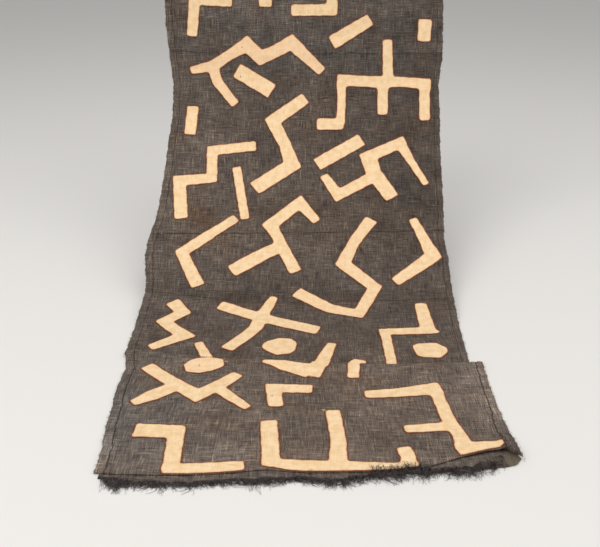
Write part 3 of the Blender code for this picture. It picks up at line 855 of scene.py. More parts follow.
def settle(outline, used, cells, rim):
    """Flat places of the patch's nodes: the rim is moved onto the inset edge and evened out, and the
    nodes near it follow by averaging."""
    flat = np.stack([outline.across.ravel()[used], outline.down.ravel()[used]], -1)
    start, end = rim.T
    edges = np.concatenate([cells[:, [i, (i + 1) % 4]] for i in range(4)])
    edges = np.concatenate([edges, edges[:, ::-1]])
    ties = np.bincount(edges[:, 0], minlength=len(used))[:, None]
    inner = np.ones(len(used), bool)
    inner[start] = False
    flat[start] = outline.to_edge(flat[start], -PATCH_INSET)
    for _ in range(4):
        pull = np.zeros_like(flat)
        np.add.at(pull, start, flat[end])
        np.add.at(pull, end, flat[start])
        flat[start] = outline.to_edge(0.5 * flat[start] + 0.25 * pull[start], -PATCH_INSET)
        total = np.zeros_like(flat)
        np.add.at(total, edges[:, 0], flat[edges[:, 1]])
        flat[inner] = (total / ties)[inner]
    return flat


def make_patch(name, strokes, tone, material, nodes, sizes):
    """One appliqué shape: a grid inside its outline, rounded over its rim and closed underneath.

    Returns places along its edge and the directions out of it, for the stitches.
    """
    tucked = name in TUCKED
    outline = Outline(strokes, PATCH_GRID, 2 if name in ROUNDER else 1, tucked)
    used, cells, rim = patch_nodes(outline)
    flat = settle(outline, used, cells, rim)
    inside = -outline.read(outline.field, flat)
    loop = np.unique(rim)
    place = np.zeros(len(used), int)
    place[loop] = np.arange(len(loop))
    full = sizes["applique_thick"]
    fold = PATCH_FOLD * np.exp(-(((inside - PATCH_FOLD_AT) / PATCH_FOLD_HALF) ** 2))
    puff = PATCH_PUFF * wander(flat[:, 0] + 0.6 * flat[:, 1], PATCH_PUFF_PITCH, 1.0)
    levels = [(flat, full * 0.85 + fold + puff, inside)]
    for distance, share in RIM_RINGS:
        ring = outline.to_edge(flat[loop], distance)
        levels.append((ring, np.full(len(loop), full * share), np.full(len(loop), -distance)))
    levels.append((flat, np.zeros(len(used)), np.full(len(used), 9.0)))
    starts = np.cumsum([0] + [len(level[0]) for level in levels])
    a, b = rim.T
    above = (a, b)
    walls = []
    for number in range(1, len(levels) - 1):
        below = (starts[number] + place[a], starts[number] + place[b])
        walls.append(np.stack([above[1], above[0], below[0], below[1]], -1))
        above = below
    walls.append(np.stack([above[1], above[0], starts[-2] + a, starts[-2] + b], -1))
    faces = np.concatenate([cells, *walls, cells[:, ::-1] + starts[-2]]).tolist()
    places = np.concatenate([level[0] for level in levels])
    height = np.concatenate([level[1] for level in levels])
    edge = np.concatenate([level[2] for level in levels])
    cloth = upper_top if tucked else cloth_top
    base = cloth(places[:, 0], places[:, 1], sizes) + PATCH_GAP
    points = lay(places[:, 0], places[:, 1], base + height)
    piece = make_mesh(
        f"applique_{name}", points, faces, places, edge=edge, tone=np.full(len(places), tone)
    )
    finish_piece(piece, material, nodes)
    every = loop[(used[loop] // outline.field.shape[1] + used[loop] % outline.field.shape[1]) % 2 == 0]
    direction, _ = outline.outward(flat[every])
    return outline.to_edge(flat[every], 0.0), direction


# Threads


def tubes(paths, radii, sides):
    """Closed tubes along many paths at once: a ring of points round each path point, and flat ends."""
    count, steps = paths.shape[:2]
    ahead = np.gradient(paths, axis=1)
    ahead /= np.maximum(np.linalg.norm(ahead, axis=-1, keepdims=True), 1e-9)
    helper = np.broadcast_to(np.array([0.31, 0.22, 0.93]), ahead.shape)
    first = np.cross(ahead, helper)
    first /= np.maximum(np.linalg.norm(first, axis=-1, keepdims=True), 1e-9)
    second = np.cross(ahead, first)
    turn = 2.0 * math.pi * np.arange(sides) / sides
    ring = first[:, :, None] * np.cos(turn)[:, None] + second[:, :, None] * np.sin(turn)[:, None]
    points = paths[:, :, None] + ring * radii[:, :, None, None]
    number = np.arange(count * steps * sides).reshape(count, steps, sides)
    ahead_side = np.roll(number, -1, axis=2)
    walls = np.stack([number[:, :-1], ahead_side[:, :-1], ahead_side[:, 1:], number[:, 1:]], -1)
    ends = [number[:, 0, ::-1], number[:, -1]]
    return points.reshape(-1, 3), walls.reshape(-1, 4).tolist() + np.concatenate(ends).tolist()


def make_threads(name, paths, radii, sides, material, tone=None):
    """Many short threads as one piece."""
    points, faces = tubes(paths, radii, sides)
    share = np.zeros(len(points)) if tone is None else np.repeat(tone, len(points) // len(tone))
    piece = make_mesh(name, points, faces, None, tone=share)
    return finish_piece(piece, material)


def stitch_paths(start, end, shares, heights, sizes):
    """Stitches from start to end on the cloth, each a low arch of given heights above it (mm)."""
    shares, heights = np.array(shares), np.array(heights)
    flat = start[:, None] + (end - start)[:, None] * shares[None, :, None]
    base = cloth_top(flat[..., 0], flat[..., 1], sizes)
    return lay(flat[..., 0], flat[..., 1], base + heights[None])


# Materials


class Socket:
    """A shader value; arithmetic on it adds Math nodes."""

    def __init__(self, shader, socket):
        self.shader = shader
        self.socket = socket

    def __add__(self, other):
        return self.shader.maths("ADD", self, other)

    def __sub__(self, other):
        return self.shader.maths("SUBTRACT", self, other)

    def __rsub__(self, other):
        return self.shader.maths("SUBTRACT", other, self)

    def __mul__(self, other):
        return self.shader.maths("MULTIPLY", self, other)

    def __truediv__(self, other):
        return self.shader.maths("DIVIDE", self, other)

    def __pow__(self, other):
        return self.shader.maths("POWER", self, other)

    __radd__ = __add__
    __rmul__ = __mul__


class Shader:
    """A material under construction."""

    def __init__(self, name, roughness=0.9):
        self.material = bpy.data.materials.new(name)
        self.material.use_nodes = True
        self.tree = self.material.node_tree
        self.surface = self.tree.nodes["Principled BSDF"]
        self.surface.inputs["Roughness"].default_value = roughness
        self.surface.inputs["Specular IOR Level"].default_value = 0.25

    def node(self, kind, settings, sockets, out=0):
        """A node of a kind, with its settings first and then its sockets' values or links."""
        node = self.tree.nodes.new("ShaderNode" + kind)
        for key, value in settings.items():
            if key == "stops":
                self.set_stops(node.color_ramp, value)
            else:
                setattr(node, key, value)
        for key, value in sockets.items():
            self.put(node.inputs[key], value)
        return Socket(self, node.outputs[out])

    def set_stops(self, ramp, stops):
        """Fills a colour ramp with (place, colour) stops."""
        while len(ramp.elements) < len(stops):
            ramp.elements.new(0.5)
        for element, (place, colour) in zip(ramp.elements, stops):
            element.position = place
            element.color = (*colour, 1.0)

    def put(self, socket, value):
        """Links or sets one socket."""
        if isinstance(value, Socket):
            self.tree.links.new(value.socket, socket)
        elif isinstance(value, tuple) and len(value) == 3 and socket.type == "RGBA":
            socket.default_value = (*value, 1.0)
        else:
            socket.default_value = value

    def maths(self, operation, *values):
        return self.node("Math", {"operation": operation}, dict(enumerate(values)))

    def flat_place(self):
        """The flat place on the cloth, across and down, in millimetres."""
        split = self.node("UVMap", {"uv_map": "flat"}, {})
        parts = self.node("SeparateXYZ", {}, {0: split})
        down = Socket(self, parts.socket.node.outputs[1])
        return parts / MM, down / MM

    def value(self, name):
        """A point value of the mesh."""
        return self.node("Attribute", {"attribute_name": name}, {}, out=2)

    def noise(self, x, y, detail=2.0, rough=0.5):
        """Smooth noise round 0.5 over a place given in cells."""
        place = self.node("CombineXYZ", {}, {0: x, 1: y})
        sockets = {"Vector": place, "Scale": 1.0, "Detail": detail, "Roughness": rough}
        return self.node("TexNoise", {"noise_dimensions": "2D"}, sockets)

    def step(self, value, low, high):
        """0 below low, 1 above high and smooth between."""
        sockets = {"Value": value, "From Min": low, "From Max": high}
        return self.node("MapRange", {"interpolation_type": "SMOOTHSTEP"}, sockets)

    def mix(self, factor, first, second, blend="MIX"):
        """A mix of two colours."""
        settings = {"data_type": "RGBA", "blend_type": blend, "clamp_factor": True}
        return self.node("Mix", settings, {0: factor, 6: first, 7: second}, out=2)

    def shade(self, colour, amount, bluer=0.0):
        """A colour made lighter or darker by a value, and bluer or browner by another."""
        sockets = {0: amount * (1.0 - bluer), 1: amount, 2: amount * (bluer + 1.0)}
        light = self.node("CombineColor", {}, sockets)
        return self.mix(1.0, colour, light, "MULTIPLY")

    def ramp(self, value, stops):
        return self.node("ValToRGB", {"stops": stops}, {0: value})

    def done(self, colour, height=None, depth=0.4, roughness=None):
        """Joins the colour and the bump to the surface. Depth is the bump's, in millimetres."""
        self.put(self.surface.inputs["Base Color"], colour)
        if roughness is not None:
            self.put(self.surface.inputs["Roughness"], roughness)
        if height is not None:
            bump = self.node("Bump", {}, {"Height": height, "Distance": depth * MM, "Strength": 1.0})
            self.put(self.surface.inputs["Normal"], bump)
        return self.material


def weave(shader, pitch, bend):
    """Plain weave: threads both ways, each with its own slow change of tone.

    Returns the tone of the thread on top, round 0.5, and the height of the cloth, 0 to 1.
    """
    u, v = shader.flat_place()
    x = (u + (shader.noise(v / 40.0, u / 160.0) - 0.5) * bend) / pitch
    y = (v + (shader.noise(u / 45.0, v / 170.0) - 0.5) * bend) / pitch
    column, row = shader.maths("FLOOR", x), shader.maths("FLOOR", y)
    over = shader.maths("FLOORED_MODULO", column + row, 2.0)
    warp = shader.noise(column * 0.71, v * 0.032, 2.0, 0.6)
    weft = shader.noise(row * 0.71 + 57.0, u * 0.032, 2.0, 0.6)
    tone = warp * over + weft * (1.0 - over)
    round_x = shader.maths("SINE", shader.maths("FRACT", x) * math.pi)
    round_y = shader.maths("SINE", shader.maths("FRACT", y) * math.pi)
    height = (round_x * over + round_y * (1.0 - over)) * 0.8 + tone * 0.4
    return u, v, tone, height


def ellipses(shader, u, v, table):
    """The sum of a table's soft-edged ellipses, each with its strength."""
    total = 0.0
    for across, down, wide, high, strength in table:
        far = ((u - across) / wide) ** 2.0 + ((v - down) / high) ** 2.0
        total = (1.0 - shader.step(far, 0.1, 1.5)) * strength + total
    return total


def ground_material(name, stops, colours, level, hem_light, stitch_groove_shade, seam_painted_shade):
    """Dark raffia: grey-brown weave, tan slubs, slightly paler hems; painted shade in the seams and stitch
    grooves.
    """
    shader = Shader(name)
    u, v, tone, height = weave(shader, colours["weave_pitch"] / MM, 6.0)
    colour = shader.ramp(tone, stops)
    patch = shader.noise(u / 48.0, v / 48.0, 3.0) * 0.8 + 0.6
    fine = shader.noise(u / 2.1, v / 2.1, 2.0) * 0.8 + 0.6
    hem = 1.0 - shader.step(shader.value("hem"), 15.5, 19.0)
    # Painted shade in the groove along the hems' stitch line: darker within about 1.6 mm of it
    left, right = STITCH_LINES
    inwards = shader.step(v, *CORNER_HEM_DOWN) * -CORNER_HEM + left - right
    stitch = shader.value("hem") + shader.step(u, -1.0, 1.0) * inwards - left
    stitch = shader.maths("ABSOLUTE", stitch)
    line = (1.0 - shader.step(stitch, 0.3, 1.6)) * stitch_groove_shade
    # Painted shade in the seam grooves: darker within a few millimetres of each panel's top and bottom ends
    seam = (1.0 - shader.step(shader.value("end"), 0.6, 2.6)) * seam_painted_shade
    cusp = shader.noise(u / 5.0, v / 5.0, 1.0) * 0.9 + 0.55
    light = patch * fine * (hem * cusp * hem_light + 1.0) * (1.0 - line) * (1.0 - seam) * level
    # The listed lighter and darker places: the cloth's own tone, and painted shade along the seams and by the
    # rolled corner
    light = light * (ellipses(shader, u, v, GROUND_TONE_AND_SHADE) + 1.0)
    colour = shader.shade(colour, light, ellipses(shader, u, v, TINTS))
    warm = shader.noise(u / 90.0 + 7.0, v / 90.0, 2.0)
    brown = shader.step(warm, 0.45, 0.75) * 0.35 + ellipses(shader, u, v, STAINS)
    colour = shader.mix(brown, colour, shader.mix(1.0, colour, colours["stain"], "MULTIPLY"))
    return shader.done(colour, height + shader.noise(u / 0.6, v / 0.6) * 0.4, 0.35)


def applique_material(colours):
    """Cream raffia cloth: a faint weave, soft blotches, a few brown flecks and a brown turned edge."""
    shader = Shader("applique cream", 0.8)
    u, v, tone, height = weave(shader, 1.15, 3.0)
    blotch = shader.noise(u / 14.0, v / 14.0, 3.0)
    cream = shader.mix(shader.step(blotch, 0.35, 0.7), colours["cream"], colours["cream_deep"])
    cream = shader.mix(shader.value("tone"), cream, colours["cream_pink"])
    cream = shader.shade(cream, tone * 0.44 + 0.78)
    edge = shader.value("edge")
    ragged = (shader.noise(u / 2.6, v / 2.6, 2.0) - 0.5) * 1.8
    turned = 1.0 - shader.step(edge + ragged, 0.5, 3.6)
    rim = 1.0 - shader.step(edge + ragged, 0.4, 1.9)
    colour = shader.mix(turned * 0.65, cream, colours["turned"])
    colour = shader.mix(rim * 0.95, colour, colours["rim"])
    colour = shader.mix(ellipses(shader, u, v, FLECKS), colour, colours["fleck"])
    return shader.done(colour, height * 0.8 + shader.noise(u / 0.7, v / 0.7) * 0.3, 0.2)


def strip_material(colours, stops):
    """The strip under the front edge: the same weave, darker to its front, and tan at its right end."""
    shader = Shader("strip weave")
    u, v, tone, height = weave(shader, colours["weave_pitch"] / MM, 6.0)
    colour = shader.ramp(tone, stops)
    ahead = shader.value("ahead")
    dark = 1.0 - shader.step(ahead + shader.noise(u / 5.0, v / 5.0) * 0.12, 0.93, 1.1) * 0.6
    colour = shader.shade(colour, dark * (shader.noise(u / 9.0, v / 9.0) * 0.9 + 0.7))
    end = shader.step(u, 287.0, 293.0)
    colour = shader.mix(end, colour, colours["tan"])
    return shader.done(colour, height, 0.35)


def thread_material(name, colour, lighter, roughness=0.9):
    """Raffia thread: its colour, and some threads lighter."""
    shader = Shader(name, roughness)
    place = shader.node("TexCoord", {}, {}, out=3)
    grain = shader.node("TexNoise", {}, {"Vector": place, "Scale": 900.0, "Detail": 2.0})
    share = shader.value("tone") * 0.8 + grain * 0.25
    return shader.done(shader.mix(share, colour, lighter), grain, 0.15)


# Settings


def distance(name, words, default, low, high):
    """A length setting, given in millimetres and kept in metres."""
    limits = {"default": default * MM, "min": low * MM, "max": high * MM}
    return bpy.props.FloatProperty(name=name, description=words, unit="LENGTH", precision=4, **limits)


def colour(name, words, default):
    """A colour setting, given as it looks on a screen."""
    return bpy.props.FloatVectorProperty(
        name=name, description=words, default=paint(*default), size=3, min=0.0, max=1.0, subtype="COLOR"
    )


class KubaSizes(bpy.types.PropertyGroup):
    ground_thick: distance("Ground thickness", "Thickness of the dark ground cloth", 1.5, 0.8, 3.0)
    hem_rise: distance("Hem rise", "How much the turned hems add to the thickness", 0.8, 0.2, 2.0)
    hem_width: distance("Hem width", "Width of the turned hems", 20.0, 10.0, 30.0)
    applique_thick: distance("Appliqué thickness", "Thickness of the cream shapes", 1.0, 0.5, 2.0)
    stitch_thick: distance("Stitch thickness", "Thickness of the sewing threads", 0.75, 0.2, 1.0)
    strand_thick: distance("Strand thickness", "Thickness of a fringe strand at its root", 1.1, 0.2, 1.6)


class KubaColours(bpy.types.PropertyGroup):
    weave_pitch: distance("Weave pitch", "Distance between neighbouring threads of the ground", 1.7, 0.8, 3.0)
    dark: colour("Dark thread", "The darkest threads of the ground", (55, 48, 44))
    middle: colour("Middle thread", "Most threads of the ground", (88, 78, 71))
    light: colour("Light thread", "The lighter threads of the ground", (113, 101, 89))
    slub: colour("Slub", "The tan slubs in the ground", (158, 144, 120))
    stain: colour("Stain", "What brown places multiply the ground by", (240, 214, 190))
    cream: colour("Cream", "Most of the appliqué cloth", (243, 212, 169))
    cream_deep: colour("Deep cream", "The deeper blotches of the appliqué cloth", (236, 200, 151))
    cream_pink: colour("Pink cream", "The pinker appliqué pieces", (238, 198, 158))
    turned: colour("Turned edge", "The turned edge of the appliqué", (226, 165, 118))
    rim: colour("Rim", "The very edge of the appliqué", (128, 66, 44))
    fleck: colour("Fleck", "Knots in the appliqué cloth", (120, 70, 38))
    tan: colour("Tan", "The strip's right end", (108, 97, 79))
    thread: colour("Appliqué thread", "Stitches round the appliqué", (104, 54, 38))
    thread_light: colour("Light appliqué thread", "The lighter of those stitches", (178, 104, 68))
    dark_thread: colour("Dark thread", "Stitches along the hems and seams", (34, 31, 31))
    fringe: colour("Fringe", "The fringe strands", (31, 27, 28))
    fringe_light: colour("Light fringe", "The lighter fringe strands", (108, 98, 95))
    floor: colour("Floor", "The studio floor", (226, 223, 218))


def read_sizes(context):
    """The sizes in millimetres, by name."""
    group = context.scene.kuba_sizes
    return {name: getattr(group, name) / MM for name in KubaSizes.__annotations__}


def read_colours(context):
    """The colours and the weave's pitch, by name."""
    group = context.scene.kuba_colours
    values = {name: getattr(group, name) for name in KubaColours.__annotations__}
    return {name: v if isinstance(v, float) else tuple(v) for name, v in values.items()}


def ground_stops(colours):
    """The ground's colours against thread tone."""
    return [(tone, colours[name]) for tone, name in GROUND_STOPS]


# Operators


class KUBA_OT_panels(bpy.types.Operator):
    """Make the five dark ground panels with their hems"""

    bl_idname = "kuba.panels"
    bl_label = "Ground Panels"

    def execute(self, context):
        sizes, colours = read_sizes(context), read_colours(context)
        stops = ground_stops(colours)
        # The last two numbers: how dark the painted shade is in the hems' stitch groove and along the seams
        upper = ground_material("ground weave", stops, colours, 1.0, 0.08, 0.45, 0.2)
        front = ground_material("front weave", stops, colours, 1.33, 0.12, 0.75, 0.1)
        half_gap = SEAM_GAP / 2.0
        lowered = [[(x, down + half_gap) for x, down in seam] for seam in SEAMS]
        raised = [[(x, down - half_gap) for x, down in seam] for seam in SEAMS]
        lap_end = [(x, down + LAP_DEPTH) for x, down in LAP_LINE]
        tops = [[(-400, 0), (400, 0)]] + lowered
        for number, (top, bottom) in enumerate(zip(tops, raised + [lap_end]), start=1):
            make_panel(number, top, bottom, "upper", upper, sizes)
        make_panel(5, LAP_LINE, FRONT_LINE, "front", front, sizes)
        return {"FINISHED"}


def node_shape(node):
    """The shape that an appliqué node belongs to; two shapes that cross the lap are in two nodes."""
    name = node.split("_", 2)[2]
    return {"check_arm": "check", "check_foot": "check", "wedge_tip": "wedge"}.get(name, name)


class KUBA_OT_applique(bpy.types.Operator):
    """Make the cream appliqué shapes and the stitches round them"""

    bl_idname = "kuba.applique"
    bl_label = "Appliqué"

    def execute(self, context):
        sizes, colours = read_sizes(context), read_colours(context)
        material = applique_material(colours)
        nodes = sorted(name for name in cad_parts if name.startswith("applique_"))
        places, directions = [], []
        for name, strokes in APPLIQUE:
            stands_for = [node for node in nodes if node_shape(node) == name]
            edge, outward = make_patch(name, strokes, PINKER.get(name, 0.0), material, stands_for, sizes)
            places.append(edge)
            directions.append(outward)
        self.stitches(np.concatenate(places), np.concatenate(directions), sizes, colours)
        return {"FINISHED"}

    def stitches(self, edge, outward, sizes, colours):
        """Slanting stitches over the appliqué's edge."""
        rng = np.random.default_rng(3)
        aside = np.stack([-outward[:, 1], outward[:, 0]], -1) * 0.5
        loose = rng.uniform(-0.25, 0.25, edge.shape)
        start, end = edge - outward * 1.4 - aside + loose, edge + outward * 1.6 + aside
        full = sizes["applique_thick"]
        heights = [full * 0.8, full + 0.42, full + 0.3, 0.6, -0.2]
        paths = stitch_paths(start, end, [0.0, 0.25, 0.6, 0.85, 1.0], heights, sizes)
        radius = np.full(paths.shape[:2], sizes["stitch_thick"] / 2.0 * MM)
        material = thread_material("appliqué thread", colours["thread"], colours["thread_light"])
        tone = rng.uniform(0.0, 1.0, len(paths))
        make_threads("applique_stitches", paths, radius, 4, material, tone)
        root = np.repeat(np.array(TUFTS, float), TUFT_THREADS, axis=0)
        root = root + rng.uniform(-TUFT_SPREAD, TUFT_SPREAD, root.shape)
        tip = root + rng.uniform(-TUFT_REACH, TUFT_REACH, root.shape)
        paths = stitch_paths(root, tip, [0.0, 0.35, 0.7, 1.0], [full, full + 0.9, full + 1.2, 0.8], sizes)
        radius = np.array([0.25, 0.25, 0.2, 0.1])[None] * np.ones((len(root), 1)) * MM
        material = thread_material("loose cream thread", colours["turned"], colours["cream"])
        make_threads("cream_tufts", paths, radius, 3, material, rng.uniform(0.3, 1.0, len(root)))


class KUBA_OT_sewing(bpy.types.Operator):
    """Make the running stitches of the hems and the stitches across the seams"""

    bl_idname = "kuba.sewing"
    bl_label = "Sewing"

    def execute(self, context):
        sizes, colours = read_sizes(context), read_colours(context)
        rng = np.random.default_rng(5)
        material = thread_material("dark thread", colours["dark_thread"], colours["light"])
        self.frays(sizes, colours, rng)
        starts, ends = [], []
        for kind, low, high in HEM_STITCHES:
            down = np.arange(low, high, HEM_STITCH_PITCH)
            down = down + rng.uniform(-0.8, 0.8, down.shape)
            for side, sign in ((0, 1.0), (1, -1.0)):
                line = stitch_line(-sign, down) + 0.7 * wander(down, 60.0, 3.0 + side)
                starts.append(np.stack([side_edges(down, kind)[side] + sign * line, down], -1))
                far = down + rng.uniform(4.2, 5.2, down.shape)
                ends.append(np.stack([side_edges(far, kind)[side] + sign * line, far], -1))
        across = np.arange(-282.0, 280.0, HEM_STITCH_PITCH)
        starts.append(np.stack([across, np.full_like(across, STITCH_LINES[0])], -1))
        ends.append(np.stack([across + 4.6, np.full_like(across, STITCH_LINES[0])], -1))
        for line in SEAMS + [LAP_LINE]:
            across = np.arange(-290.0, 286.0, SEAM_STITCH_PITCH) + rng.uniform(-0.9, 0.9)
            down = along(line, across)
            reach = rng.uniform(1.6, 2.6, across.shape)
            starts.append(np.stack([across - 0.6, down - reach], -1))
            ends.append(np.stack([across + 0.6, down + reach], -1))
        start, end = np.concatenate(starts), np.concatenate(ends)
        paths = stitch_paths(start, end, [0.0, 0.12, 0.5, 0.88, 1.0], [-0.4, 0.15, 0.3, 0.15, -0.4], sizes)
        on_front = 1.0 + 0.4 * (start[:, 1] > along(LAP_LINE, start[:, 0]) + 8.0)
        radius = sizes["stitch_thick"] / 2.0 * on_front[:, None] * np.ones(paths.shape[:2]) * MM
        tone = rng.uniform(0.0, 0.5, len(paths))
        make_threads("sewing_stitches", paths, radius, 4, material, tone)
        return {"FINISHED"}

    def frays(self, sizes, colours, rng):
        """Short loose threads that stick out of the side edges and of the lap's edge."""
        roots, aims = [], []
        for kind, low, high, count in FRAYS:
            for side, sign in ((0, -1.0), (1, 1.0)):
                down = rng.uniform(low, high, count)
                down = down[np.abs(down - along(LAP_LINE, side_edges(down, kind)[side])) > 6.0]
                inset = rng.uniform(0.6, 3.0, len(down))
                roots.append(np.stack([side_edges(down, kind)[side] - sign * inset, down], -1))
                aims.append(rng.normal(0.0, 0.9, len(down)) + (0.0, math.pi)[side == 0])
        across = rng.uniform(-296.0, 286.0, LAP_FRAYS)
        roots.append(np.stack([across, along(LAP_LINE, across) + rng.uniform(0.6, 2.5, len(across))], -1))
        aims.append(rng.normal(-math.pi / 2.0, 0.9, len(across)))
        root, aim = np.concatenate(roots), np.concatenate(aims)
        reach = rng.uniform(2.0, 5.0, len(root))[:, None]
        tip = root + reach * np.stack([np.cos(aim), np.sin(aim)], -1)
        paths = stitch_paths(root, tip, [0.0, 0.4, 0.75, 1.0], [0.05, 0.4, 0.6, 0.5], sizes)
        radius = np.array([0.22, 0.2, 0.16, 0.1])[None] * np.ones((len(root), 1)) * MM
        material = thread_material("loose threads", colours["middle"], colours["slub"])
        make_threads("edge_frays", paths, radius, 3, material, rng.uniform(0.0, 1.0, len(root)))


class KUBA_OT_fringe(bpy.types.Operator):
    """Make the strip under the front edge and its curly strands"""

    bl_idname = "kuba.fringe"
    bl_label = "Fringe"

    def execute(self, context):
        sizes, colours = read_sizes(context), read_colours(context)
        self.strip(colours)
        self.strands(sizes, colours)
        return {"FINISHED"}

    def strip(self, colours):
        """The woven strip: a flat grid between its back and front lines, wavy beyond the cloth's edge."""
        left, right = STRIP_ENDS
        share = spread(STRIP_DEPTH, STRIP_GRID[0])[:, None] / STRIP_DEPTH
        side = spread(right - left, STRIP_GRID[1])[None] / (right - left)
        across = left + (along(STRIP_RIGHT, share) - left) * side
        down = along(STRIP_BACK, across) * (1.0 - share) + along(STRIP_FRONT, across) * share
        down = down + STRIP_EDGE_WAVE * wander(across, STRIP_EDGE_PITCH, 1.0) * share
        rise = strip_rise(across, down)
        from_ends = np.minimum(side, 1.0 - side) * (right - left)
        from_lines = np.minimum(share, 1.0 - share) * STRIP_DEPTH
        full = round_rim(np.minimum(from_ends, from_lines), STRIP_RIM)
        top = lay(across, down, rise + STRIP_THICK * (0.5 + 0.5 * full))
        bottom = lay(across, down, rise + STRIP_THICK * (0.5 - 0.5 * full))
        points, faces = shell(top, bottom)
        flat = shell(np.stack([across, down], -1), np.stack([across, down], -1))[0]
        ahead = np.broadcast_to(share, across.shape)[..., None]
        piece = make_mesh("fringe_strip_weave", points, faces, flat, ahead=shell(ahead, ahead)[0])
        material = strip_material(colours, ground_stops(colours))
        finish_piece(piece, material, ["fringe_strip"])

    def strands(self, sizes, colours):
        """Curly strands in small clumps; each leans out from its root, winds from side to side and tapers."""
        rng = np.random.default_rng(11)
        left, right = STRIP_ENDS
        middle = np.sort(rng.uniform(left, right - 13.0, CLUMPS))
        depth, usual = along(STRANDS, middle), along(STRANDS, middle, 2)
        clump = np.stack(
            [
                middle,
                along(STRIP_FRONT, middle) - rng.uniform(0.0, 1.0, CLUMPS) * depth,
                usual * rng.gamma(6.0, 1.0 / 6.0, CLUMPS),
                rng.normal(0.0, 0.55, CLUMPS),
                rng.uniform(0.0, 6.3, CLUMPS),
            ],
            axis=-1,
        )
        clump = np.repeat(clump, CLUMP_SIZE, axis=0)
        strays = []
        for low, high, number in STRAYS:
            at = rng.uniform(low, high, number)
            root = along(FRONT_LINE, at) + rng.uniform(0.0, 4.0, number)
            length, heading = rng.uniform(6.0, 16.0, number), rng.normal(math.pi, 0.9, number)
            strays.append(np.stack([at, root, length, heading, at], axis=-1))
        every = np.concatenate([clump] + strays)
        count = len(every)
        across, root, length, heading, phase = every.T[:, :, None]
        across = across + rng.normal(0.0, 1.2, (count, 1))
        length = np.minimum(length * rng.uniform(0.7, 1.2, (count, 1)), LONGEST_STRAND)
        share = np.linspace(0.0, 1.0, STRAND_STEPS)[None]
        angle = heading + rng.normal(0.0, 0.2, (count, 1)) + rng.normal(0.0, 0.65, (count, 1)) * share
        at_end = soft_step(np.abs(across), *STRAND_ENDS)
        angle = (1.0 - at_end) * angle - at_end * np.sign(across) * np.abs(angle)
        winds = share * rng.uniform(*CURL_TURNS, (count, 1)) + phase + rng.normal(0.0, 0.5, (count, 1))
        curl = rng.uniform(*CURL, (count, 1)) * np.sin(winds) * share**0.5
        x = across + np.sin(angle) * length * share + np.cos(angle) * curl
        y = root + np.cos(angle) * length * share - np.sin(angle) * curl
        height = along(STRANDS, across, 3) * rng.uniform(0.1, 1.4, (count, 1))
        lift = height * np.sin(math.pi * np.clip(share * 0.9 + 0.05, 0.0, 1.0))
        on_strip = 1.0 - soft_step(y - along(STRIP_FRONT, x), -1.0, 3.0)
        on_panel = 1.0 - soft_step(y - along(FRONT_LINE, x), 0.0, 3.0)
        low = 0.5 + on_strip * (STRIP_THICK + strip_rise(x, y))
        high = front_rise(x, y) + sizes["ground_thick"] + sizes["applique_thick"] + 0.7
        paths = lay(x, y, low + on_panel * (high - low) + lift)
        radius = sizes["strand_thick"] / 2.0 * (1.0 - 0.7 * share) * rng.uniform(0.5, 1.1, (count, 1)) * MM
        material = thread_material("fringe strands", colours["fringe"], colours["fringe_light"], 0.6)
        tone = rng.uniform(0.0, 1.0, count) ** 2.0
        make_threads("fringe_strands", paths, radius, 3, material, tone)


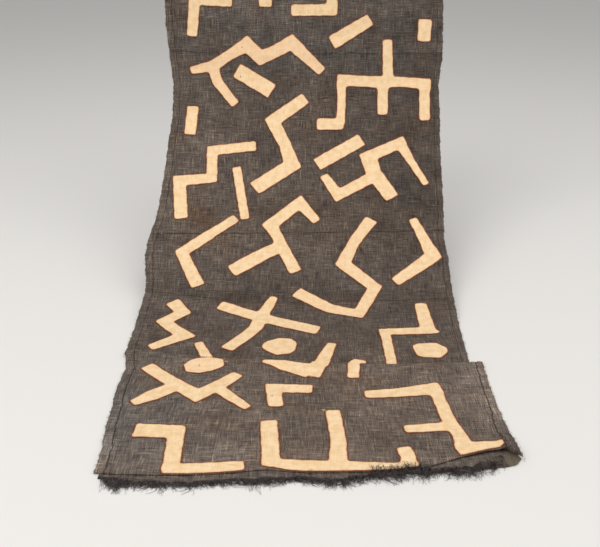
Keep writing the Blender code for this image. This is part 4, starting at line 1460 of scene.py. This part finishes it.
class KUBA_OT_stage(bpy.types.Operator):
    """Make the floor, the lights and the camera"""

    bl_idname = "kuba.stage"
    bl_label = "Stage"

    def execute(self, context):
        colours = read_colours(context)
        corners = FLOOR_HALF * np.array([(-1.0, -1.0), (1.0, -1.0), (1.0, 1.0), (-1.0, 1.0)])
        points = np.concatenate([corners, np.full((4, 1), FLOOR_Z)], axis=1)
        floor = make_mesh("studio_floor", points, [[0, 1, 2, 3]])
        floor.data.materials.append(Shader("studio floor", 0.75).done(colours["floor"]))
        for name, place, size, power in LIGHTS:
            self.light(name, place, size, power)
        self.sky(context)
        self.camera(context)
        context.scene.view_settings.view_transform = "Standard"
        return {"FINISHED"}

    def light(self, name, place, size, power):
        """A soft square light that faces the cloth's middle."""
        data = bpy.data.lights.new(name, "AREA")
        data.size = size
        data.energy = power
        lamp = bpy.data.objects.new(name, data)
        aim = np.array(LIGHT_AIM) - np.array(place)
        lamp.location = place
        lamp.rotation_euler = (
            math.atan2(math.hypot(aim[0], aim[1]), -aim[2]),
            0.0,
            math.atan2(aim[1], aim[0]) - math.pi / 2.0,
        )
        bpy.context.scene.collection.objects.link(lamp)

    def sky(self, context):
        """An even pale surround."""
        world = bpy.data.worlds.new("studio")
        world.use_nodes = True
        ground = world.node_tree.nodes["Background"]
        ground.inputs["Color"].default_value = (*paint(*SKY_COLOUR), 1.0)
        ground.inputs["Strength"].default_value = SKY_STRENGTH
        context.scene.world = world

    def camera(self, context):
        """The photograph's camera."""
        data = bpy.data.cameras.new("camera")
        data.sensor_width = SENSOR_MM
        data.lens = FOCAL_PX / PHOTO_WIDTH * SENSOR_MM
        eye = bpy.data.objects.new("camera", data)
        eye.location = (CAMERA_ACROSS, -CAMERA_BACK, FLOOR_Z + CAMERA_HEIGHT)
        eye.rotation_euler = (math.radians(90.0 - CAMERA_DOWN), 0.0, math.radians(CAMERA_LEFT))
        context.scene.collection.objects.link(eye)
        context.scene.camera = eye


class KUBA_PT_sidebar(bpy.types.Panel):
    bl_label = "Kuba Cloth"
    bl_idname = "KUBA_PT_sidebar"
    bl_space_type = "VIEW_3D"
    bl_region_type = "UI"
    bl_category = "Kuba Cloth"

    def draw(self, context):
        for operator in OPERATORS:
            self.layout.operator(operator.bl_idname)
        for group in (context.scene.kuba_sizes, context.scene.kuba_colours):
            column = self.layout.column()
            for name in group.__annotations__:
                column.prop(group, name)


OPERATORS = (KUBA_OT_panels, KUBA_OT_applique, KUBA_OT_sewing, KUBA_OT_fringe, KUBA_OT_stage)
CLASSES = (KubaSizes, KubaColours, *OPERATORS, KUBA_PT_sidebar)


def register():
    for cls in CLASSES:
        bpy.utils.register_class(cls)
    bpy.types.Scene.kuba_sizes = bpy.props.PointerProperty(type=KubaSizes)
    bpy.types.Scene.kuba_colours = bpy.props.PointerProperty(type=KubaColours)


def unregister():
    del bpy.types.Scene.kuba_colours
    del bpy.types.Scene.kuba_sizes
    for cls in reversed(CLASSES):
        bpy.utils.unregister_class(cls)


def main():
    register()
    for operator in OPERATORS:
        getattr(bpy.ops.kuba, operator.bl_idname.split(".")[1])()


if __name__ == "__main__":
    main()
